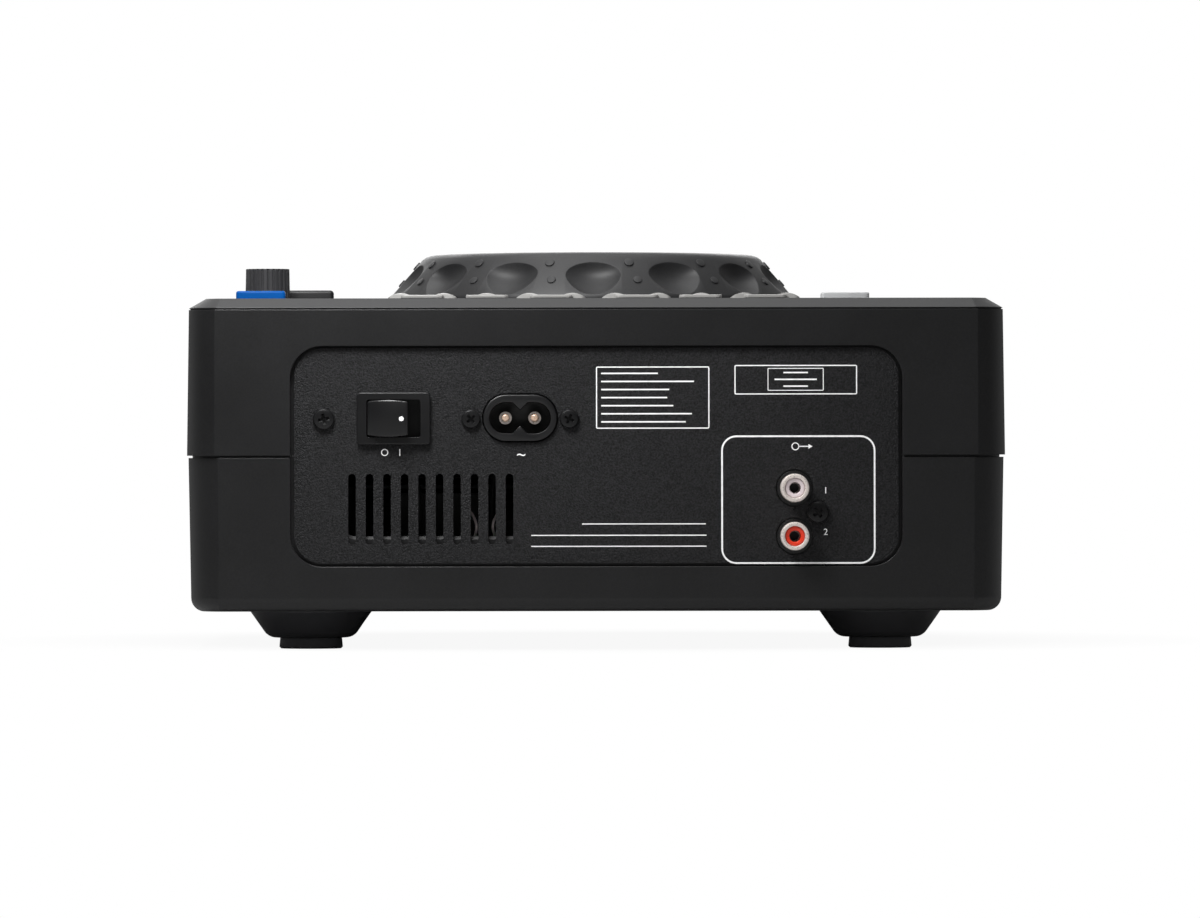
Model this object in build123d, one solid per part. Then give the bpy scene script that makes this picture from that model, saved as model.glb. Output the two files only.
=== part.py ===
from build123d import *
import math
import os

# Tabletop DJ CD player, in millimetres. +Z is up, +Y is the rear, +X is the user's right.
# The origin is on the surface it stands on, under the middle of its bounding box.

# ---- Casing ----
WALL = 2.6
BODY_Y = -1.35                       # middle of the body's depth
BODY_DEPTH = 285.0
SEAM_WIDTH = 238.6                   # upper shell at the seam
LOWER_STEP = 0.4                     # the lower shell stands back by this all round
CORNER = 8.2                         # reach of a corner's flat arc along each side
CORNER_RISE = 0.157                  # rise of that arc over its chord, as a share of its reach
FLOOR_Z = 11.3
SEAM_Z = 56.4
GROOVE_HEIGHT = 0.65
GROOVE_DEPTH = 1.15
RIM_Z = 99.2
TOP_Z = 102.5
RIM_GROOVE = 0.4                     # height and depth of the groove below the rim
RIM_WIDTH = 5.0
UPPER_DRAFT = 0.8                    # degrees
LOWER_DRAFT = 1.0                    # degrees
FLOOR_EDGE_R = 4.0
REAR_Y = BODY_Y + BODY_DEPTH / 2
FRONT_Y = BODY_Y - BODY_DEPTH / 2
UNDER_TOP = TOP_Z - WALL
ABOVE_FLOOR = FLOOR_Z + WALL
GROOVE_TOP = SEAM_Z + GROOVE_HEIGHT / 2
GROOVE_BOTTOM = SEAM_Z - GROOVE_HEIGHT / 2
POST_PLACES = [(x, y) for x in (-110.0, 110.0) for y in (-133.0, 0.0, 131.0)]
POST_R = 4.6
LONG_SCREW_R = 1.8
LONG_SCREW_TOP = 76.0
LONG_HEAD_R = 3.4
LONG_HEAD_Z = 19.0
LONG_HEAD_HEIGHT = 2.4
FIT = 0.05                           # radial clearance of a running or push fit

# ---- Feet ----
FEET = [(83.8, 106.0), (-83.8, 106.0), (89.0, -106.0), (-89.0, -106.0)]
CONE_TOP_R = 17.9
CONE_BRIM = 0.4                      # height of the upright brim at the cone's top
CONE_LOW_R = 12.5
CONE_LOW_Z = 3.2
CONE_EDGE_R = 4.2
PAD_R = 9.35
PAD_NECK_R = 9.1

# ---- Rear recess and panel ----
RECESS_HALF = 89.05
RECESS_LOW = 24.35
RECESS_HIGH = 88.6
RECESS_R = 9.3
RECESS_DEPTH = 3.3
PANEL_THICK = 1.5
PANEL_GAP_SIDE = 1.1
PANEL_GAP_TOP = 0.6
PANEL_GAP_LOW = 0.9
LEDGE_THICK = 2.2
LEDGE_BEVEL = 0.8
OPENING = (-80.0, 74.0, 33.2, 82.0)  # x low, x high, z low, z high behind the panel
OPENING_R = 4.0
FRAME_LAP = 3.0                      # frame past the recess on each side
PANEL_BACK = REAR_Y - RECESS_DEPTH
PANEL_FACE = PANEL_BACK + PANEL_THICK
VENT_FIRST_X = 25.3
VENT_PITCH = 5.09
VENT_COUNT = 10
VENT_WIDTH = 2.2
VENT_LOW = 30.8
VENT_HIGH = 51.35
PANEL_SCREW = (79.3, 67.3, 3.2)      # x, z, head radius
INLET_SCREWS = [(36.5, 67.3, 2.85), (7.9, 67.3, 2.85)]
JACK_SCREW = (-64.5, 40.0, 3.2)
SCREW_HEAD = 1.6
SCREW_SHANK_R = 1.4
SCREW_HEAD_EDGE_R = 0.9
SCREW_LENGTH = 8.0
SCREW_CROSS = (3.4, 0.8, 1.1)        # length, width, depth of each slot

# ---- Mains inlet ----
INLET_X = 22.2
INLET_Z = 67.6
COLLAR_W = 21.4
COLLAR_H = 13.5
COLLAR_PROUD = 1.0
EIGHT_W = 17.9
EIGHT_H = 9.1
EIGHT_RIB = 2.2                      # reach of the wedge-shaped ribs
EIGHT_DEPTH = 12.0
PIN_SPACING = 8.5
PIN_R = 1.2
FLANGE_W = 36.0
FLANGE_H = 15.0
FLANGE_THICK = 1.6
INLET_BODY_DEPTH = 17.0

# ---- Power switch ----
SWITCH_X = 59.0
SWITCH_Z = 67.5
BEZEL_W = 21.4
BEZEL_H = 15.1
BEZEL_PROUD = 1.5
BEZEL_CORNER = 1.2
BEZEL_EDGE = 0.25
SWITCH_BODY_W = 19.2
SWITCH_BODY_H = 12.9
SWITCH_DEPTH = 16.0
ROCKER_HOLE_W = 15.7
ROCKER_HOLE_H = 11.0
ROCKER_END_H = 9.8
ROCKER_MIDDLE_H = 10.7
ROCKER_R = 11.0                      # pivot to each end of the rocker's face
ROCKER_SPREAD = 33.8                 # degrees from the rocker's middle to each end
ROCKER_CROWN = 0.6                   # rise of its face in the middle
ROCKER_HUB_R = 2.4
ROCKER_TILT = 11.0                   # degrees either side of the middle
ROCKER_PIVOT_BACK = 7.5              # pivot behind the bezel's face
ROCKER_PIN_R = 1.2
ROCKER_PIN_REACH = 6.15
TERMINAL = (4.0, 0.4, 2.4, 7.0)      # offset, half thickness, half height, length

# ---- Phono jacks ----
JACK_X = -57.6
JACK_Z = (47.1, 33.1)
JACK_R = 4.15
JACK_ROOT_R = 3.6                    # behind the panel's face
JACK_BOSS_R = 5.0                    # black boss that fills most of the panel's hole
JACK_WALL_START = 0.05               # plated wall's start in front of the panel's face
JACK_LIP = 0.35
JACK_BORE_R = 2.9
JACK_HOLE_R = 1.65
JACK_REACH = 6.5
JACK_PANEL_HOLE_R = 5.5
JACK_ROOT = 3.0
CONTACT_WALL = 0.3
CONTACT_LENGTH = 3.0
BLOCK_DEPTH = 14.0
BLOCK_HALF = 8.5
BLOCK_TOP = 54.0
MAIN_BOARD_LOW = 22.9
POWER_BOARD_LOW = 20.0

# ---- Jog wheel ----
JOG_Y = -9.0
JOG_BASE_R = 62.1
JOG_RIM_R = 51.5
JOG_INNER_R = 57.0
JOG_BASE_Z = 103.0
JOG_TOP_Z = 118.1
JOG_SHOULDER_Z = 116.2
JOG_SKIRT_Z = 105.0
SCOOPS = 14
SCOOP_Z = 110.05
SCOOP_LENGTH = 13.1                  # along the wheel's slope
SCOOP_KNEE = 0.72                    # deepest place, as a share of the length from below
SCOOP_AXIS_LIFT = 10.9               # axis of the carving tool above the slope
SCOOP_DEPTH = 3.2
JOG_WEB_LOW = 109.0
JOG_CAP_R = 42.0
JOG_CAP_RECESS = 1.4
SHAFT_R = 4.0
BEARING_FLANGE_R = 20.0
BEARING_R = 7.5
STUD_RISE = 0.45
STUD_HIGH = (114.8, 1.45, -1.27)     # z, radius, degrees off the middle between scoops
STUD_LOW = (109.5, 1.3, 0.35)

# ---- Keys: x, y, width, depth, height above the plate ----
KEY_ROW_X = 0.55
KEY_ROW_Y = 121.0
KEY_COUNT = 10
KEY_PITCH = 12.54
KEY_W = 7.6
KEY_D = 8.6
KEY_RISE = 1.7
KEY_CROWN = 1.35                     # fall of the crown at the key's sides
CARRIER_RISE = 1.15
CARRIER_D = 12.6
CARRIERS = [(6.27, 18.81), (25.1, 37.4), (43.89, 56.43)]
CARRIER_FOOT = (0.3, 0.4)             # height and inset of the dark step under each carrier
BLUE_KEY = (98.0, 121.0, 14.4, 9.0, 2.4)
DARK_KEY = (84.4, 81.0, 13.8, 9.0, 3.3)
CLEAR_KEY = (-73.2, 116.0, 14.1, 9.0, 1.9)
KEY_GAP = 0.35
KEY_TRAVEL = 1.0
FLANGE_GAP = 0.25
KEY_FLANGE = 1.0
KEY_FLANGE_REACH = 1.2
ROUND_BUTTONS = {"play_button": (-92.0, -108.0), "cue_button": (-92.0, -74.0)}
ROUND_BUTTON_R = 12.0
ROUND_BUTTON_RISE = 2.4
BUTTON_DISH = 0.5
BUTTON_DISH_R = 90.0
KEY_HOLE_R = 1.2

# ---- Knob and fader ----
KNOB = (96.7, 96.0)
KNOB_BASE_R = 6.75
KNOB_TOP_R = 6.55
KNOB_LOW = TOP_Z + 0.5
KNOB_HIGH = TOP_Z + 9.4
KNOB_FLUTES = 24
FLUTE_R = 0.6
FLUTE_START = 1.6
KNOB_SHAFT_R = 3.0
KNOB_SHAFT_LENGTH = 7.5
FADER = (97.0, -52.0)
FADER_TRAVEL = 60.0
FADER_CAP = (19.0, 10.0)
FADER_LOW = TOP_Z + 0.5
FADER_HIGH = TOP_Z + 4.6
FADER_SLOT_W = 2.4
FADER_STEM_W = 1.6
FADER_STEM_LOW = 90.0
FADER_HOLLOW_R = 5.0
FADER_HOLLOW_DEPTH = 0.6
SLIDER = (9.0, 84.0, 85.0)           # width, length and underside of the slide potentiometer
ENCODER_HALF = 6.0

# ---- Display and boards ----
DISPLAY = (0.0, 84.0, 100.0, 40.0)   # x, y, width, depth of the window
DISPLAY_LEDGE = 2.0
WINDOW_THICK = 1.3
BOARD_LOW = 92.5
BOARD_THICK = 1.6
SWITCH_TOP = UNDER_TOP - FLANGE_GAP - KEY_FLANGE - KEY_TRAVEL - FIT
SWITCH_SIZE = 6.0
CONTROL_BOARD = (206.0, 262.0)
BOARD_HOLE_R = 25.0
SPACER_R = 3.0
MAIN_BOARD = (-54.0, 98.0, 90.0)     # x, width, depth
MAIN_SPACERS = [(-98.0, 52.0), (-10.0, 52.0), (-98.0, 126.0), (-10.0, 126.0)]
POWER_BOARD = (56.0, 94.0, 74.0)
POWER_SPACERS = [(14.0, 64.0), (98.0, 64.0), (14.0, 126.0), (98.0, 126.0)]
BOARD_BEHIND_LEDGE = 0.5
POWER_BOARD_BACK = 4.0
# Parts on the boards: blocks as x low, x high, y low, y high, height, cans as x, y, radius, height.
POWER_BLOCKS = [(30, 58, 72, 98, 24), (88, 92, 70, 110, 22), (42, 60, 112, 122, 12)]
POWER_CANS = [(76, 84, 8.0, 26), (76, 106, 5.0, 16), (24, 114, 5.0, 16)]
MAIN_BLOCKS = [(-50, -26, 60, 84, 1.8), (-90, -76, 60, 74, 1.6), (-36, -24, 100, 108, 9)]
MAIN_CANS = [(-86, 100, 4.0, 12)]

# ---- Disc drive ----
DISC_Y = -78.0
DISC_R = 60.0
TRAY_HALF = 67.0
TRAY_FRONT = -142.0
TRAY_REAR = 14.0
TRAY_LOW = 38.0
TRAY_HIGH = 42.5
TRAY_SEAT = 40.0
TRAY_SLOT = 21.0
TRAY_RACK_LOW = 34.0
TRAY_RACK_BACK = 4.0                 # web behind the rack's teeth
TONGUE_REACH = 69.5
TONGUE_LOW = 38.8
TONGUE_HIGH = 41.2
FACE_HALF = 70.0
FACE_LOW = 33.4
FACE_HIGH = 49.6
FACE_PROUD = 2.0
FACE_GAP = 0.5                       # cover's plug inside the front opening
FACE_LAP = 1.6                       # cover's edge past the plug
FACE_CLEAR = 0.3                     # cover's back in front of the wall
RACK_MODULE = 1.0
PINION_TEETH = 14
GEAR_X = 50.0
GEAR_Y = -118.0
TRAIN_MODULE = 0.8
BIG_TEETH = 40
SMALL_TEETH = 12
DECK_LOW = 26.5
DECK_HIGH = 28.5
SIDE_IN = 70.1
SIDE_OUT = 72.3
CHASSIS_FRONT = -138.0
CHASSIS_REAR = 34.0
GUIDE_IN = 67.6                      # inner edge of the rails that guide the tray's tongues
GUIDE_GAP = 0.3
GUIDE_LOW = 36.6
GUIDE_HIGH = 43.4
CHASSIS_FEET = [-120.0, -30.0, 24.0]
CHASSIS_FOOT = (8.0, 6.0, 2.0)       # reach, half length, thickness
EAR = (44.5, 48.5, 24.0, 35.0)       # x low, x high, y low, top of the pivot ears
DECK_REAR = -103.0
BEAM_FRONT = 31.0
BEAM_TOP = 24.0
LOADING_MOTOR = (10.0, 15.5)         # radius, underside
MOTOR_COLLAR_R = 3.0
MOTOR_SHAFT_R = 1.0
AXLE_R = 2.0
SLED_MODULE = 0.8
SLED_TEETH = 16
SLED_GEAR_Y = -24.0
SLED_PITCH_X = 26.0                  # pitch line of the sled's rack
SLED = (40.0, 26.0, -49.0, 28.2, 35.0)   # width, depth, y, low, high
SLED_RACK = (17.0, 22.0, -60.0, -20.0)   # x low, x high, y low, y high of its web
SLED_RACK_LOW = 32.6
SLED_RACK_HIGH = 35.6
POCKET = (8.5, -60.5, -45.5, 30.0)   # half width, y low, y high, floor of the lens pocket
LENS_HOLDER = (6.5, -59.0, -47.0, 31.0, 35.8)
LENS_R = 3.4
LENS_CENTRE_Z = 34.6
RAIL_X = 18.0
RAIL_Z = 31.0
RAIL_R = 1.5
RAIL_ENDS = (-67.4, 18.4)
RAIL_MOUNTS = [(-70.0, -64.5), (14.6, 20.0)]
RAIL_MOUNT_HALF = 3.0
TRAVERSE = (84.0, 120.0, -36.0, 29.5, 31.5)   # width, depth, y, low, high
TRAVERSE_WINDOW = (25.6, -65.0, 10.0)    # half width, y low, y high
TRAVERSE_BEAM = (20.0, 26.0, 33.0)   # y low, y high, top
TRAVERSE_UNDER = 28.5
TRAVERSE_ARM = 4.0                   # width of the arms that carry the stub pins
PIVOT_Y = 28.0
PIVOT_Z = 31.0
PIVOT_R = 2.0
PIVOT_PIN = (38.7, 48.3)             # inner and outer end of each stub pin
SPINDLE_MOTOR = (12.0, 23.5, 1.5)    # radius, underside, shaft radius
SLED_MOTOR = (6.5, 21.0, 1.0)
MOTOR_FLOOR = 2.0                    # underside to the shaft's hole
HUB_R = 14.0
HUB_TOP = 42.2
HUB_LOW = 38.6
CONE_R = 7.4
BRIDGE_HALF = 19.0
BRIDGE_LOW = 46.4
BRIDGE_THICK = 1.2
PUCK_R = 14.0
PUCK_NECK_R = 10.5

BACKLASH = 0.14                      # taken off each tooth's thickness
PRESSURE = math.radians(20.0)
ADDENDUM = 0.7
DEDENDUM = 1.15


# ---- Helpers ----
def block(x0, x1, y0, y1, z0, z1):
    """Box between two corners."""
    return Pos((x0 + x1) / 2, (y0 + y1) / 2, (z0 + z1) / 2) * Box(x1 - x0, y1 - y0, z1 - z0)


def rod(x, y, r, z0, z1):
    """Upright round bar."""
    return Pos(x, y, (z0 + z1) / 2) * Cylinder(r, z1 - z0)


def plate(width, depth, radius, z0, z1, x=0.0, y=0.0, taper=0.0):
    """Flat plate with round corners, with an optional draft in degrees."""
    outline = Pos(x, y, z0) * RectangleRounded(width, depth, radius)
    return extrude(outline, amount=z1 - z0, taper=taper)


def shell_outline(width, depth):
    """Casing's outline: straight sides, and corners whose flat arcs meet them in a crease."""
    x, y = width / 2, depth / 2
    near = x - CORNER / 2 + CORNER * CORNER_RISE / math.sqrt(2)
    far = y - CORNER / 2 + CORNER * CORNER_RISE / math.sqrt(2)
    edges = []
    for sx, sy in ((1, 1), (-1, 1), (-1, -1), (1, -1)):
        ends = [(sx * x, sy * (y - CORNER)), (sx * (x - CORNER), sy * y)]
        edges.append(ThreePointArc(ends[0], (sx * near, sy * far), ends[1]))
    for side in (-1, 1):
        edges.append(Line((side * x, CORNER - y), (side * x, y - CORNER)))
        edges.append(Line((CORNER - x, side * y), (x - CORNER, side * y)))
    return make_face(edges)


def shell_body(width, depth, z0, z1, taper=0.0):
    """Solid slab with the casing's outline, with an optional draft in degrees."""
    return extrude(Pos(0, BODY_Y, z0) * shell_outline(width, depth), amount=z1 - z0, taper=taper)


def upright(sketch, y0, y1):
    """Stands a sketch up, its own x and y along X and Z, and makes it solid from y0 to y1."""
    return extrude(Plane.XZ.offset(-y1) * sketch, amount=y1 - y0)


def peg(x, z, r, y0, y1):
    """Round bar along Y."""
    return upright(Pos(x, z) * Circle(r), y0, y1)


def turned(points, x=0.0, y=0.0):
    """Turned part from radius and height pairs."""
    profile = make_face(Plane.XZ * Polyline(*points, close=True))
    return Pos(x, y, 0) * revolve(profile, axis=Axis.Z)


def gear_outline(teeth, module, turn=0.0):
    """Face of a spur gear with involute flanks, one tooth on +X before the turn in degrees."""
    pitch_r = teeth * module / 2
    base_r = pitch_r * math.cos(PRESSURE)
    tip_r = pitch_r + ADDENDUM * module
    root_r = pitch_r - DEDENDUM * module
    half = math.pi / (2 * teeth) - BACKLASH / (2 * pitch_r)
    start_r = max(base_r, root_r)
    flank = []
    for step in range(5):
        r = start_r + (tip_r - start_r) * step / 4
        roll = math.acos(min(1.0, base_r / r))
        angle = half + (math.tan(PRESSURE) - PRESSURE) - (math.tan(roll) - roll)
        flank.append((r, angle))
    points = []
    for tooth in range(teeth):
        middle = math.radians(turn) + tooth * 2 * math.pi / teeth
        polar = [(root_r, -flank[0][1])] if root_r < base_r else []
        polar += [(r, -a) for r, a in flank] + [(r, a) for r, a in reversed(flank)]
        polar += [(root_r, flank[0][1])] if root_r < base_r else []
        points += [(r * math.cos(middle + a), r * math.sin(middle + a)) for r, a in polar]
    return make_face(Polyline(*points, close=True))


def gear(x, y, teeth, module, z0, z1, turn=0.0):
    """Spur gear with an upright axis."""
    return extrude(Pos(x, y, z0) * gear_outline(teeth, module, turn), amount=z1 - z0)


def rack(pitch_x, gap_y, y0, y1, back, module, z0, z1):
    """Straight rack along Y. Its teeth face away from back, and one gap is centred on gap_y."""
    pitch = math.pi * module
    side = 1 if back < pitch_x else -1
    tip = pitch_x + side * ADDENDUM * module
    root = pitch_x - side * DEDENDUM * module
    half = pitch / 4 - BACKLASH / 2
    points = [(back, y0), (root, y0)]
    first = math.ceil((y0 - gap_y) / pitch)
    last = math.floor((y1 - gap_y) / pitch)
    for index in range(first, last):
        centre = gap_y + (index + 0.5) * pitch
        at_root = half + DEDENDUM * module * math.tan(PRESSURE)
        at_tip = half - ADDENDUM * module * math.tan(PRESSURE)
        points += [(root, centre - at_root), (tip, centre - at_tip)]
        points += [(tip, centre + at_tip), (root, centre + at_root)]
    points += [(root, y1), (back, y1)]
    return extrude(Pos(0, 0, z0) * make_face(Polyline(*points, close=True)), amount=z1 - z0)


# ---- Casing ----
def recess_outline(inset_side=0.0, inset_low=0.0, inset_top=0.0):
    """Outline of the rear recess, or of the panel when it is inset."""
    width = 2 * (RECESS_HALF - inset_side)
    low = RECESS_LOW + inset_low
    high = RECESS_HIGH - inset_top
    return Pos(0, (low + high) / 2) * RectangleRounded(width, high - low, RECESS_R - inset_side)


def opening_outline(grow=0.0):
    """Hole behind the rear panel."""
    x0, x1, z0, z1 = OPENING
    size = (x1 - x0 + 2 * grow, z1 - z0 + 2 * grow)
    return Pos((x0 + x1) / 2, (z0 + z1) / 2) * RectangleRounded(*size, OPENING_R + grow)


def rear_frame():
    """Thick frame inside the rear wall, which carries the panel."""
    outline = Pos(0, (RECESS_LOW + RECESS_HIGH) / 2) * RectangleRounded(
        2 * (RECESS_HALF + FRAME_LAP), RECESS_HIGH - RECESS_LOW + 2 * FRAME_LAP, RECESS_R)
    return upright(outline, PANEL_BACK - LEDGE_THICK, REAR_Y - WALL + 0.2)


def rear_cuts():
    """Recess, bevelled hole and screw hole that are cut from the rear wall."""
    cuts = upright(recess_outline(), PANEL_BACK, REAR_Y + 2)
    cuts += upright(opening_outline(), PANEL_BACK - LEDGE_THICK - 1, PANEL_BACK + 1)
    mouth = Plane.XZ.offset(-PANEL_BACK) * opening_outline(LEDGE_BEVEL)
    cuts += extrude(mouth, amount=LEDGE_BEVEL, taper=45)
    x, z, _ = PANEL_SCREW
    cuts += peg(x, z, SCREW_SHANK_R + FIT, PANEL_BACK - LEDGE_THICK - 1, PANEL_BACK + 1)
    return cuts


def control_holes():
    """Holes in the top plate for the jog's bearing, keys, buttons, knob and fader."""
    low, high = UNDER_TOP - 1, TOP_Z + 1
    holes = rod(0, JOG_Y, BEARING_R + 0.5, low, high)
    holes += rod(KNOB[0], KNOB[1], KNOB_SHAFT_R + 0.5, low, high)
    places = [key_place(index) + (KEY_W, KEY_D) for index in range(KEY_COUNT)]
    places += [key[:4] for key in (BLUE_KEY, DARK_KEY, CLEAR_KEY)]
    for x, y, w, d in places:
        holes += plate(w + 2 * KEY_GAP, d + 2 * KEY_GAP, KEY_HOLE_R, low, high, x, y)
    for x, y in ROUND_BUTTONS.values():
        holes += rod(x, y, ROUND_BUTTON_R + KEY_GAP, low, high)
    return holes + plate(FADER_SLOT_W, FADER_TRAVEL + 6, FADER_SLOT_W / 2 - 0.01, low, high, *FADER)


def display_cut():
    """Seat of the display window and the hole below it."""
    x, y, w, d = DISPLAY
    seat = plate(w, d, 2.0, TOP_Z - WINDOW_THICK, TOP_Z + 1, x, y)
    return seat + plate(w - 2 * DISPLAY_LEDGE, d - 2 * DISPLAY_LEDGE, 1.0, UNDER_TOP - 1, TOP_Z, x, y)


def upper_shell():
    """Upper half of the casing, with its holes for controls, and posts for the long screws."""
    width, depth = SEAM_WIDTH, BODY_DEPTH
    inset = 2 * (RIM_Z - GROOVE_TOP) * math.tan(math.radians(UPPER_DRAFT))
    body = shell_body(width, depth, GROOVE_TOP, RIM_Z, UPPER_DRAFT)
    rim_low = RIM_Z + RIM_GROOVE
    inner = inset + 2 * RIM_GROOVE
    body += shell_body(width - inner, depth - inner, RIM_Z - 1, rim_low + FIT)
    rim_taper = math.degrees(math.atan2(RIM_WIDTH, TOP_Z - rim_low))
    body += shell_body(width - inset, depth - inset, rim_low, TOP_Z, rim_taper)
    body -= plate(width - 2 * WALL, depth - 2 * WALL, CORNER, GROOVE_TOP, UNDER_TOP,
                  y=BODY_Y, taper=UPPER_DRAFT)
    body += rear_frame() - block(-150, 150, -200, 200, 0, GROOVE_TOP)
    for x, y in POST_PLACES:
        body += rod(x, y, POST_R, GROOVE_TOP, UNDER_TOP + 0.5)
        body -= rod(x, y, LONG_SCREW_R + FIT, GROOVE_TOP - 1, LONG_SCREW_TOP + 1)
    return body - rear_cuts() - control_holes() - display_cut()


def lower_shell():
    """Lower half of the casing: floor, walls, a lip that closes the seam, and screw posts."""
    shrink = (GROOVE_BOTTOM - FLOOR_Z) * math.tan(math.radians(LOWER_DRAFT))
    width = SEAM_WIDTH - 2 * LOWER_STEP - 2 * shrink
    depth = BODY_DEPTH - 2 * LOWER_STEP - 2 * shrink
    body = shell_body(width, depth, FLOOR_Z, GROOVE_BOTTOM, -LOWER_DRAFT)
    rim = body.faces().sort_by(Axis.Z)[0].edges()
    body = fillet(rim, FLOOR_EDGE_R)
    body -= plate(width - 2 * WALL, depth - 2 * WALL, CORNER, ABOVE_FLOOR, GROOVE_BOTTOM,
                  y=BODY_Y, taper=-LOWER_DRAFT)
    outer = 2 * (GROOVE_DEPTH + LOWER_STEP)
    inner = 2 * (WALL + LOWER_STEP)
    lip = plate(SEAM_WIDTH - outer, BODY_DEPTH - outer, CORNER, GROOVE_BOTTOM - 0.5, GROOVE_TOP, y=BODY_Y)
    body += lip - plate(SEAM_WIDTH - inner, BODY_DEPTH - inner, CORNER - 1, GROOVE_BOTTOM - 1, GROOVE_TOP + 1,
                        y=BODY_Y)
    body += rear_frame() - block(-150, 150, -200, 200, GROOVE_TOP, 200)
    body -= block(JACK_X - BLOCK_HALF - 0.4, JACK_X + BLOCK_HALF + 0.4, PANEL_BACK - LEDGE_THICK - 1,
                  PANEL_BACK + 0.01, MAIN_BOARD_LOW + BOARD_THICK - 0.2, OPENING[2] + 1)
    for x, y in POST_PLACES:
        body += rod(x, y, POST_R, FLOOR_Z + 0.5, GROOVE_TOP)
        body -= rod(x, y, LONG_SCREW_R + FIT, FLOOR_Z - 1, GROOVE_TOP + 1)
        body -= rod(x, y, LONG_HEAD_R + 0.3, FLOOR_Z - 1, LONG_HEAD_Z)
    return body - rear_cuts() - block(-FACE_HALF - FACE_GAP, FACE_HALF + FACE_GAP, FRONT_Y - 2, FRONT_Y + 8,
                                      FACE_LOW - FACE_GAP, FACE_HIGH + FACE_GAP)


def case_screws():
    """Six long screws that hold the shells together from below."""
    screws = []
    for x, y in POST_PLACES:
        screw = rod(x, y, LONG_SCREW_R, LONG_HEAD_Z - 0.5, LONG_SCREW_TOP)
        screw += rod(x, y, LONG_HEAD_R, LONG_HEAD_Z - LONG_HEAD_HEIGHT, LONG_HEAD_Z)
        for turn in (0, 90):
            low = LONG_HEAD_Z - LONG_HEAD_HEIGHT
            screw -= Pos(x, y, low) * Rot(0, 0, turn) * Box(4.0, 0.9, 2.4)
        screws.append(screw)
    return Compound(children=screws)


def pan_screw(x, z, head_r):
    """Cross-head screw in the rear panel, its head on the panel's face."""
    head = peg(x, z, head_r, PANEL_FACE, PANEL_FACE + SCREW_HEAD)
    head = fillet(head.edges().group_by(Axis.Y)[-1], SCREW_HEAD_EDGE_R)
    head += peg(x, z, SCREW_SHANK_R, PANEL_FACE - SCREW_LENGTH, PANEL_FACE + 0.3)
    length, width, depth = SCREW_CROSS
    for w, h in ((length, width), (width, length)):
        head -= upright(Pos(x, z) * Rectangle(w, h), PANEL_FACE + SCREW_HEAD - depth, PANEL_FACE + 3)
    return head


def rear_screws():
    """The screws that show in the rear panel."""
    return Compound(children=[pan_screw(*place) for place in (PANEL_SCREW, *INLET_SCREWS, JACK_SCREW)])


def rear_panel():
    """Rear plate with its cut-outs for switch, inlet, jacks, screws and ten vent slots."""
    outline = recess_outline(PANEL_GAP_SIDE, PANEL_GAP_LOW, PANEL_GAP_TOP)
    outline -= Pos(SWITCH_X, SWITCH_Z) * Rectangle(SWITCH_BODY_W + 0.3, SWITCH_BODY_H + 0.3)
    outline -= Pos(INLET_X, INLET_Z) * SlotOverall(COLLAR_W + 0.8, COLLAR_H + 0.8)
    for z in JACK_Z:
        outline -= Pos(JACK_X, z) * Circle(JACK_PANEL_HOLE_R)
    for x, z, _ in (PANEL_SCREW, *INLET_SCREWS, JACK_SCREW):
        outline -= Pos(x, z) * Circle(SCREW_SHANK_R + FIT)
    for index in range(VENT_COUNT):
        middle = (VENT_FIRST_X + index * VENT_PITCH, (VENT_LOW + VENT_HIGH) / 2)
        outline -= Pos(*middle) * SlotOverall(VENT_HIGH - VENT_LOW, VENT_WIDTH, rotation=90)
    return upright(outline, PANEL_BACK, PANEL_FACE)


def foot_cones():
    """Four conical feet with a brim against the floor."""
    cones = []
    for x, y in FEET:
        brim = FLOOR_Z - CONE_BRIM
        cone = turned([(0, CONE_LOW_Z), (CONE_LOW_R, CONE_LOW_Z), (CONE_TOP_R, brim), (CONE_TOP_R, FLOOR_Z),
                       (0, FLOOR_Z)], x, y)
        cones.append(fillet(cone.edges().group_by(Axis.Z)[0], CONE_EDGE_R))
    return Compound(children=cones)


def foot_pads():
    """Rubber pads under the feet, a little wider at the ground."""
    pads = []
    for x, y in FEET:
        profile = [(0, 0), (PAD_R - 0.5, 0), (PAD_R, 0.5), (PAD_NECK_R, CONE_LOW_Z), (0, CONE_LOW_Z)]
        pads.append(turned(profile, x, y))
    return Compound(children=pads)


# ---- Mains inlet ----
def figure_eight():
    """Outline of the mains cavity: a slot with a wedge-shaped rib above and below its middle."""
    shape = SlotOverall(EIGHT_W, EIGHT_H)
    for side in (-1, 1):
        edge, tip = side * EIGHT_H / 2, side * (EIGHT_H / 2 - EIGHT_RIB)
        beyond = edge + side * EIGHT_RIB
        shape -= make_face(Polyline((-2 * EIGHT_RIB, beyond), (0, tip), (2 * EIGHT_RIB, beyond), close=True))
    return shape


def inlet_housing():
    """Inlet for a figure-8 mains plug, held by two screws."""
    face = PANEL_FACE + COLLAR_PROUD
    back = PANEL_BACK - INLET_BODY_DEPTH
    middle = Pos(INLET_X, INLET_Z)
    body = upright(middle * SlotOverall(FLANGE_W, FLANGE_H), PANEL_BACK - FLANGE_THICK, PANEL_BACK)
    body += upright(middle * SlotOverall(COLLAR_W, COLLAR_H), back, face)
    body -= upright(middle * figure_eight(), face - EIGHT_DEPTH, face + 1)
    for side in (-1, 1):
        x = INLET_X + side * PIN_SPACING / 2
        body -= peg(x, INLET_Z, PIN_R + FIT, back - 1, face)
    for x, z, _ in INLET_SCREWS:
        body -= peg(x, z, SCREW_SHANK_R + FIT, PANEL_BACK - 5, PANEL_BACK + 1)
    return body


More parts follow.
